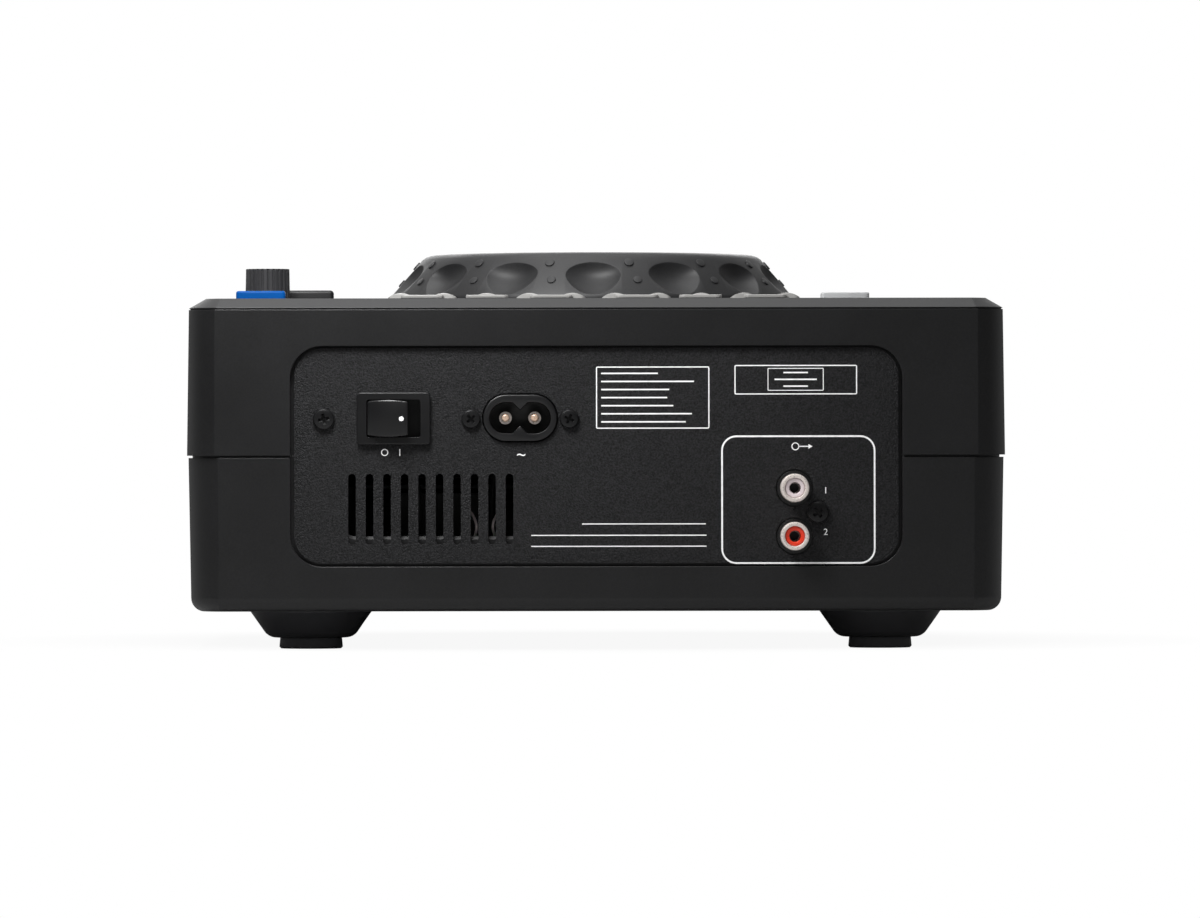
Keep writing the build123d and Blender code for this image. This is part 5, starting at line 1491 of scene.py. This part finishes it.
# ---------------------------------------------------------------- controls
@dataclass
class Keys(SubAssembly):
    """Row of domed keys, the side keys and the two round buttons."""

    crown_drop: float = 1.35
    row_count: int = 10
    corner: float = 1.0
    flange_rise: float = 1.0
    flange_rim: float = 1.2
    cap_rise: float = 0.8
    ring_section: tuple[tuple[float, float], ...] = (
        (12.5, 0.0), (14.6, 0.0), (14.6, 0.25), (14.2, 0.5), (12.9, 0.5), (12.5, 0.25))
    dish: float = 0.5
    sign_bar: tuple[float, float] = (0.8, 3.6)
    sign_arrow: float = 2.2

    def build(self) -> None:
        """Makes every key as its own piece on its own body."""
        self.row()
        for node, finish, slot, edge in (("blue_key", BLUE, "key_blue", 0.7),
                                         ("dark_key", DARK_KEY, "key_dark", 0.9),
                                         ("clear_key", FROSTED, "key_clear", 0.45)):
            self.flat_key(node, finish, slot, edge)
        self.button_details()

    def foot(self, low: Vector, high: Vector) -> Piece:
        """Flange of a key below the top plate."""
        top = low.z + self.flange_rise * MM
        return rounded_block("key_foot", low, Vector((high.x, high.y, top)), self.corner * MM, 0.1 * MM, 2)

    def cap_box(self, node: str) -> tuple[Vector, Vector]:
        """Lowest and highest corner of a key's visible cap, without its flange.

        Args:
            node: The frame node's name.

        Returns:
            The cap's lowest and highest corner.
        """
        low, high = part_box(node)
        rim = self.flange_rim * MM
        return low + Vector((rim, rim, self.cap_rise * MM)), high - Vector((rim, rim, 0.0))

    def row(self) -> None:
        """Ten domed keys, one shape copied along the row."""
        low, high = self.cap_box("row_key_1")
        seed = rounded_block("row_seed", low, high, self.corner * MM, 0.3 * MM, 3)
        half = (high.x - low.x) / 2
        drop = self.crown_drop * MM
        radius = (half * half + drop * drop) / (2 * drop)
        crown = peg_along_y("crown", (low.x + high.x) / 2, high.z - radius, radius, low.y - MM, high.y + MM,
                            160)
        carve(seed, crown, "INTERSECT")
        soften(seed, 0.22 * MM, 3, 32.0)
        carve(seed, self.foot(*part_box("row_key_1")), "UNION")
        first = (low.x + high.x) / 2
        for index in range(1, self.row_count + 1):
            node = f"row_key_{index}"
            key = copy_of(seed, f"domed_key_{index}")
            key.location.x = middle_of(node).x - first
            self.place(settle(key), SILVER, "key_light", node, (node,))
        bpy.data.objects.remove(seed, do_unlink=True)

    def flat_key(self, node: str, finish: Finish, slot: str, edge: float) -> None:
        """Key with a flat, softly dished top.

        Args:
            node: The frame node's name.
            finish: Its finish.
            slot: The record's material slot.
            edge: Rounding of its upper edges, in millimetres.
        """
        low, high = self.cap_box(node)
        cap = rounded_block(node + "_cap", low, high, self.corner * MM, edge * MM, 4)
        carve(cap, self.foot(*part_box(node)), "UNION")
        self.place(cap, finish, slot, node, (node,))

    def button_details(self) -> None:
        """Light ring around each round button and a sign on its top."""
        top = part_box("upper_shell")[1].z
        rings = [(r * MM, top + z * MM) for r, z in self.ring_section]
        for node in ("play_button", "cue_button"):
            middle = middle_of(node)
            ring = turned_piece(node + "_ring", rings, middle, 64, closed=True)
            self.place(ring, LIGHT_RING, "key_clear")
            printer = Printer(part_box(node)[1].z - self.dish * MM, Facing.UP)
            across, along = middle.x / MM, middle.y / MM
            if node == "play_button":
                shapes = [printer.triangle("play", across - 1.6, along, self.sign_arrow),
                          printer.bar("pause_a", across + 1.6, along, *self.sign_bar),
                          printer.bar("pause_b", across + 3.2, along, *self.sign_bar)]
            else:
                shapes = [printer.bar("stop_bar", across - 2.0, along, *self.sign_bar),
                          printer.triangle("back", across + 0.6, along, self.sign_arrow, 180.0)]
            self.place(joined(shapes, node + "_sign"), GREY_INK, "foot_plastic", node)


@dataclass
class KnobAndFader(SubAssembly):
    """Fluted knob, and the prints of the fader."""

    flutes: int = 24
    knob_radius: float = 6.6
    knob_lift: float = 0.5
    taper: float = 0.972
    dish: tuple[float, float] = (1.1, 0.35)
    flute: tuple[float, float] = (0.07, 0.42)
    shaft_radius: float = 3.0
    index_mark: tuple[float, float, float] = (4.4, 0.8, 3.4)
    fader_mark: tuple[float, float] = (16.5, 0.7)

    def build(self) -> None:
        """Makes the knob and the line on the fader cap."""
        self.knob()
        middle, top = middle_of("fader_cap"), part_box("fader_cap")[1].z
        line = Printer(top, Facing.UP).bar("fader_line", middle.x / MM, middle.y / MM, *self.fader_mark)
        self.place(line, WHITE_INK, "white_insulator", "fader")

    def knob(self) -> None:
        """Knob with flutes pressed in between ridges, and a white index."""
        low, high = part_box("track_knob")
        x, y, _ = middle_of("track_knob")
        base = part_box("upper_shell")[1].z + self.knob_lift * MM
        knob = add_piece(bpy.ops.mesh.primitive_cylinder_add, "fluted_knob", vertices=self.flutes * 3,
                         radius=self.knob_radius * MM, depth=high.z - base,
                         location=(x, y, (base + high.z) / 2))
        with editing(knob, Pick.FACE):
            choose(knob, Pick.FACE, lambda f: f.normal.z > 0.9)
            bpy.ops.transform.resize(value=(self.taper, self.taper, 1.0), center_override=(x, y, high.z))
            choose(knob, Pick.FACE, lambda f: f.normal.z > 0.9)
            bpy.ops.mesh.inset(thickness=self.dish[0] * MM)
            bpy.ops.transform.translate(value=(0, 0, -self.dish[1] * MM))
            self.press_flutes(knob, x, y)
        soften(knob, 0.08 * MM, 1, 50.0)
        root = base + 0.5 * MM
        shaft = add_piece(bpy.ops.mesh.primitive_cylinder_add, "knob_shaft", vertices=32,
                          radius=self.shaft_radius * MM, depth=root - low.z,
                          location=(x, y, (low.z + root) / 2))
        carve(knob, shaft, "UNION")
        self.place(knob, KNOB, "knob_plastic", "knob", ("track_knob",))
        out, width, length = self.index_mark
        pointer = Printer(high.z, Facing.UP).bar("knob_pointer", x / MM, y / MM + out, width, length)
        self.place(pointer, WHITE_INK, "white_insulator", "knob")

    def press_flutes(self, knob: Piece, x: float, y: float) -> None:
        """Presses every third side face in, while the knob is in edit mode.

        Args:
            knob: The knob.
            x: Place of its axis across the player.
            y: Place of its axis along the player.
        """
        mesh = bmesh.from_edit_mesh(knob.data)
        sides = [f for f in mesh.faces if abs(f.normal.z) < 0.3 and f.calc_area() > 2e-6]
        sides.sort(key=lambda f: math.atan2(f.calc_center_median().y - y, f.calc_center_median().x - x))
        bpy.ops.mesh.select_all(action="DESELECT")
        for index, face in enumerate(sides):
            face.select_set(index % 3 == 0)
        bmesh.update_edit_mesh(knob.data)
        bpy.ops.mesh.inset(thickness=self.flute[0] * MM, depth=-self.flute[1] * MM, use_individual=True)


@dataclass
class TopPlate(SubAssembly):
    """Prints on the top plate and the unlit segments of the display."""

    jog_line: tuple[float, float, float, float] = (0.0, -9.0, 65.0, 0.5)
    window_margin: float = 4.0
    key_line: tuple[float, float, float] = (111.8, 5.0, 0.4)
    side_line: tuple[float, float, float] = (-2.4, 8.0, 0.4)
    fader_place: tuple[float, float] = (97.0, -52.0)
    ticks: int = 21
    tick_pitch: float = 3.0
    tick_gap: float = 11.5
    tick_lengths: tuple[float, float] = (2.0, 3.6)
    plus_minus: tuple[float, float] = (-91.0, -13.0)
    sign_size: tuple[float, float] = (2.6, 0.45)
    numerals: tuple[float, ...] = (-31.0, -21.5, -9.0, 0.5, 13.0, 22.5)
    numeral_level: float = 84.0
    segment: tuple[float, float] = (1.0, 5.4)
    segment_reach: tuple[float, float] = (2.9, 3.3)
    segment_width: float = 4.4

    def build(self) -> None:
        """Makes the prints and the segments."""
        printer = Printer(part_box("upper_shell")[1].z, Facing.UP)
        shapes = [printer.ring("jog_line", *self.jog_line, 160)]
        shapes += self.fader_scale(printer)
        low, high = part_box("display_window")
        width, depth = ((high[axis] - low[axis]) / MM + self.window_margin for axis in (0, 1))
        shapes.append(printer.outline("display_line", 0.0, (low.y + high.y) / 2 / MM, width, depth, 3.0, 0.4))
        for index in range(10):
            across = middle_of(f"row_key_{index + 1}").x / MM
            shapes.append(printer.bar("key_line", across, *self.key_line))
        drop, *size = self.side_line
        for node in ("blue_key", "dark_key", "clear_key"):
            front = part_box(node)[0].y / MM
            shapes.append(printer.bar("key_line", middle_of(node).x / MM, front + drop, *size))
        self.place(joined(shapes, "top_print"), GREY_INK, "white_insulator")
        self.segments()

    def fader_scale(self, printer: Printer) -> list[Piece]:
        """Tick marks on both sides of the fader slot, with a plus and a minus.

        Args:
            printer: The printer for the face.

        Returns:
            The marks.
        """
        x, y = self.fader_place
        shapes = []
        for index in range(self.ticks):
            along = y + (index - (self.ticks - 1) / 2) * self.tick_pitch
            length = self.tick_lengths[index % 5 == 0]
            for side in (-1, 1):
                across = x + side * (self.tick_gap + length / 2)
                shapes.append(printer.bar("tick", across, along, length, 0.3))
        plus, minus = self.plus_minus
        length, line = self.sign_size
        for name, along, size in (("plus_a", plus, (length, line)), ("plus_b", plus, (line, length)),
                                  ("minus", minus, (length, line))):
            shapes.append(printer.bar(name, x, along, *size))
        return shapes

    def segments(self) -> None:
        """Unlit numerals of the display, each of seven bars, under the window."""
        printer = Printer(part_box("display_module")[1].z - 0.499 * MM, Facing.UP)
        reach, rise = self.segment_reach
        width, length = self.segment
        shapes = []
        for across in self.numerals:
            for side in (-1, 1):
                for half in (-1, 1):
                    level = self.numeral_level + half * rise
                    shapes.append(printer.bar("segment", across + side * reach, level, width, length))
            for row in (-1, 0, 1):
                shapes.append(printer.bar("segment", across, self.numeral_level + row * 2 * rise,
                                          self.segment_width, width))
        self.place(joined(shapes, "display_segments"), SEGMENT, "display_glass")


@dataclass
class DiscDrive(SubAssembly):
    """Sign on the tray's cover: an arrow over a line."""

    body: str = "tray"
    arrow: tuple[float, float] = (42.1, 1.6)
    line: tuple[float, float, float] = (39.9, 3.2, 0.5)

    def build(self) -> None:
        """Makes the sign."""
        printer = Printer(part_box("tray_front")[0].y, Facing.FRONT)
        shapes = [printer.triangle("out_sign", 0.0, *self.arrow, 90.0),
                  printer.bar("out_line", 0.0, *self.line)]
        self.place(joined(shapes, "tray_sign"), GREY_INK, "white_insulator")


@dataclass
class Wiring(SubAssembly):
    """Leads behind the rear panel. Each route is four points in millimetres."""

    radius: float = 0.9
    thin_radius: float = 0.4
    mains_routes: tuple[Route, ...] = (
        ((26.45, 117.0, 67.6), (26.5, 108.0, 62.0), (33.0, 104.0, 47.0), (30.0, 104.0, 34.0)),
        ((17.95, 117.0, 67.6), (18.0, 107.0, 60.0), (21.0, 105.0, 44.0), (24.0, 104.0, 30.0)),
        ((62.9, 117.0, 67.5), (63.0, 108.0, 62.0), (66.0, 118.0, 46.0), (62.0, 112.0, 30.0)),
        ((54.9, 117.0, 67.5), (55.0, 107.0, 60.0), (50.0, 116.0, 44.0), (52.0, 112.0, 34.0)),
    )
    thin_routes: tuple[Route, ...] = (
        ((38.0, 118.0, 29.0), (33.6, 133.0, 35.0), (33.6, 133.5, 36.5), (38.0, 118.0, 42.0)),
        ((27.0, 118.0, 29.0), (31.6, 133.0, 35.5), (31.6, 133.5, 37.0), (27.0, 118.0, 42.0)),
    )

    def build(self) -> None:
        """Makes the leads from the inlet and the switch to the board, and two thin pale ones."""
        leads = [self.lead(route, self.radius) for route in self.mains_routes]
        self.place(joined(leads, "inner_leads"), PARTS_BLACK, "component_black")
        thin = [self.lead(route, self.thin_radius) for route in self.thin_routes]
        self.place(joined(thin, "pale_leads"), WHITE_CORE, "white_insulator")

    def lead(self, route: Route, radius: float) -> Piece:
        """One lead as a tube along a smooth curve through four points.

        Args:
            route: Four points in millimetres.
            radius: Its radius, in millimetres.

        Returns:
            The new piece, settled.
        """
        deselect_all()
        bpy.ops.curve.primitive_nurbs_path_add(location=(0, 0, 0))
        curve = bpy.context.active_object
        for point, place in zip(curve.data.splines[0].points, (*route, route[-1])):
            point.co = (*(c * MM for c in place), 1.0)
        curve.data.bevel_depth = radius * MM
        curve.data.bevel_resolution = 3
        curve.data.use_fill_caps = True
        bpy.ops.object.convert(target="MESH")
        return settle(newest("lead"))


# ---------------------------------------------------------------- studio
@dataclass
class Studio:
    """Floor, lights, world and the camera behind the player."""

    distance: float = 2.6
    eye_height: float = 0.0556
    eye_x: float = 0.0245
    look_x: float = -0.00102
    lens: float = 268.3
    roll: float = math.radians(0.09)
    ambient: float = 0.6
    floor_size: float = 40.0
    # Axis of the direction, its range, and the level over that range.
    bright: tuple[tuple[str, float, float, float, float], ...] = (
        ("Y", 0.1, -0.35, 0.0, 1.0), ("Y", 0.8, 0.93, 0.0, 0.05), ("Z", 0.35, 0.85, 0.0, 0.75))
    dimmed: tuple[tuple[str, float, float, float, float], ...] = (
        ("X", -0.6, 0.1, 0.35, 1.0), ("X", 0.1, 0.6, 1.0, 0.6))
    aim: tuple[float, float, float] = (0.0, 0.0, 0.06)
    # A near soft key at the rear on the +X side, a top lamp, and one for the front.
    lamps: tuple[tuple[str, tuple[float, float, float], float, float], ...] = (
        ("key_lamp", (0.1, 0.25, 0.27), 0.1, 1.15),
        ("top_lamp", (0.15, -0.1, 1.9), 1.3, 13.0),
        ("front_lamp", (0.1, -2.0, 0.7), 1.2, 13.0),
    )

    def build(self) -> None:
        """Makes everything that isn't part of the player."""
        self.floor()
        self.world()
        for lamp in self.lamps:
            self.lamp(*lamp)
        self.camera()

    def floor(self) -> None:
        """Wide pale floor that keeps the player's shadow and is white to the camera."""
        floor = add_piece(bpy.ops.mesh.primitive_plane_add, "studio_floor", size=self.floor_size,
                          location=(0, 0, 0))
        made = bpy.data.materials.new("pale_floor")
        made.use_nodes = True
        tree = made.node_tree
        tree.nodes.clear()
        path = add_node(tree, "LightPath")
        place = add_node(tree, "TexCoord").outputs["Object"]
        away = add_node(tree, "VectorMath", {"operation": "LENGTH"}, {0: place})
        white = add_node(tree, "MapRange", ramp(0.12, 0.2, 0.93, 1.0), {"Value": away.outputs["Value"]})
        paint = add_node(tree, "BsdfDiffuse", {"Color": linear("#a8a8a8")})
        glow = add_node(tree, "Emission", {"Color": (1.0, 1.0, 1.0, 1.0), "Strength": 1.0})
        seen = add_node(tree, "Math", {"operation": "MULTIPLY"},
                        {0: path.outputs["Is Camera Ray"], 1: white.outputs[0]})
        mixed = add_node(tree, "MixShader",
                         links={0: seen.outputs[0], 1: paint.outputs[0], 2: glow.outputs[0]})
        add_node(tree, "OutputMaterial", links={"Surface": mixed.outputs[0]})
        floor.data.materials.append(made)

    def world(self) -> None:
        """World that is white to the camera, a plain level for the light, and a studio in reflections."""
        world = bpy.data.worlds.new("studio_world")
        bpy.context.scene.world = world
        world.use_nodes = True
        tree = world.node_tree
        tree.nodes.clear()
        path = add_node(tree, "LightPath")
        sharp = add_node(tree, "Math", {"operation": "MAXIMUM"},
                         {0: path.outputs["Is Camera Ray"], 1: path.outputs["Is Transmission Ray"]})
        soft = add_node(tree, "Background", {"Color": (1.0, 1.0, 1.0, 1.0), "Strength": self.ambient})
        white = add_node(tree, "Background", {"Color": (1.0, 1.0, 1.0, 1.0), "Strength": 1.0})
        seen = add_node(tree, "MixShader",
                        links={0: sharp.outputs[0], 1: soft.outputs[0], 2: white.outputs[0]})
        mirror = add_node(tree, "Background", {"Color": (1.0, 1.0, 1.0, 1.0)},
                          {"Strength": self.reflected_room(tree)})
        mixed = add_node(tree, "MixShader",
                         links={0: path.outputs["Is Glossy Ray"], 1: seen.outputs[0], 2: mirror.outputs[0]})
        add_node(tree, "OutputWorld", links={"Surface": mixed.outputs[0]})

    def reflected_room(self, tree: Tree) -> Socket:
        """Brightness of the room in reflections, by direction.

        Args:
            tree: The world's node tree.

        Returns:
            A level that is high behind the player and overhead, low at both rear corners, moderate at
            the rear, and lower on the -X side.
        """
        way = add_node(tree, "TexCoord").outputs["Generated"]
        parts = add_node(tree, "SeparateXYZ", links={0: way})
        level = None
        for operation, ramps in (("MAXIMUM", self.bright), ("MULTIPLY", self.dimmed)):
            for axis, *ends in ramps:
                part = add_node(tree, "MapRange", ramp(*ends), {"Value": parts.outputs[axis]}).outputs[0]
                if level is None:
                    level = part
                    continue
                merged = add_node(tree, "Math", {"operation": operation}, {0: level, 1: part})
                level = merged.outputs[0]
        return level

    def lamp(self, name: str, place: tuple[float, float, float], size: float, power: float) -> None:
        """Square area lamp that points at the player.

        Args:
            name: The lamp's name.
            place: Its middle.
            size: Length of its sides.
            power: Its power in watts.
        """
        deselect_all()
        bpy.ops.object.light_add(type="AREA", location=place)
        lamp = bpy.context.active_object
        lamp.name = name
        lamp.data.size = size
        lamp.data.energy = power
        aim = Vector(self.aim) - Vector(place)
        lamp.rotation_mode = "QUATERNION"
        lamp.rotation_quaternion = aim.to_track_quat("-Z", "Y")

    def camera(self) -> None:
        """Long lens straight at the rear panel, from below half height."""
        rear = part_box("upper_shell")[1].y
        place = Vector((self.eye_x, rear + self.distance, self.eye_height))
        aim = Vector((self.look_x, rear, self.eye_height)) - place
        deselect_all()
        bpy.ops.object.camera_add(location=place)
        camera = bpy.context.active_object
        camera.name = "rear_camera"
        camera.data.lens = self.lens
        camera.data.sensor_width = 36.0
        camera.data.clip_start = 0.05
        camera.data.clip_end = 50.0
        camera.rotation_mode = "QUATERNION"
        turn = Matrix.Rotation(self.roll, 4, aim.normalized()).to_quaternion()
        camera.rotation_quaternion = turn @ aim.to_track_quat("-Z", "Y")
        bpy.context.scene.camera = camera


def main() -> None:
    """Builds every sub-assembly around the frame, then the studio."""
    logging.basicConfig(level=logging.INFO, format="%(message)s")
    bpy.context.scene.view_settings.view_transform = "Standard"
    dress_cad_nodes()
    for maker in (RearPanel(), MainsInlet(), PowerSwitch(), PhonoJacks(), JogWheel(), Keys(), KnobAndFader(),
                  TopPlate(), DiscDrive(), Wiring()):
        maker.build()
        LOG.info("%s made %d pieces", type(maker).__name__, len(maker.made))
    Studio().build()
    deselect_all()


if __name__ == "__main__":
    main()
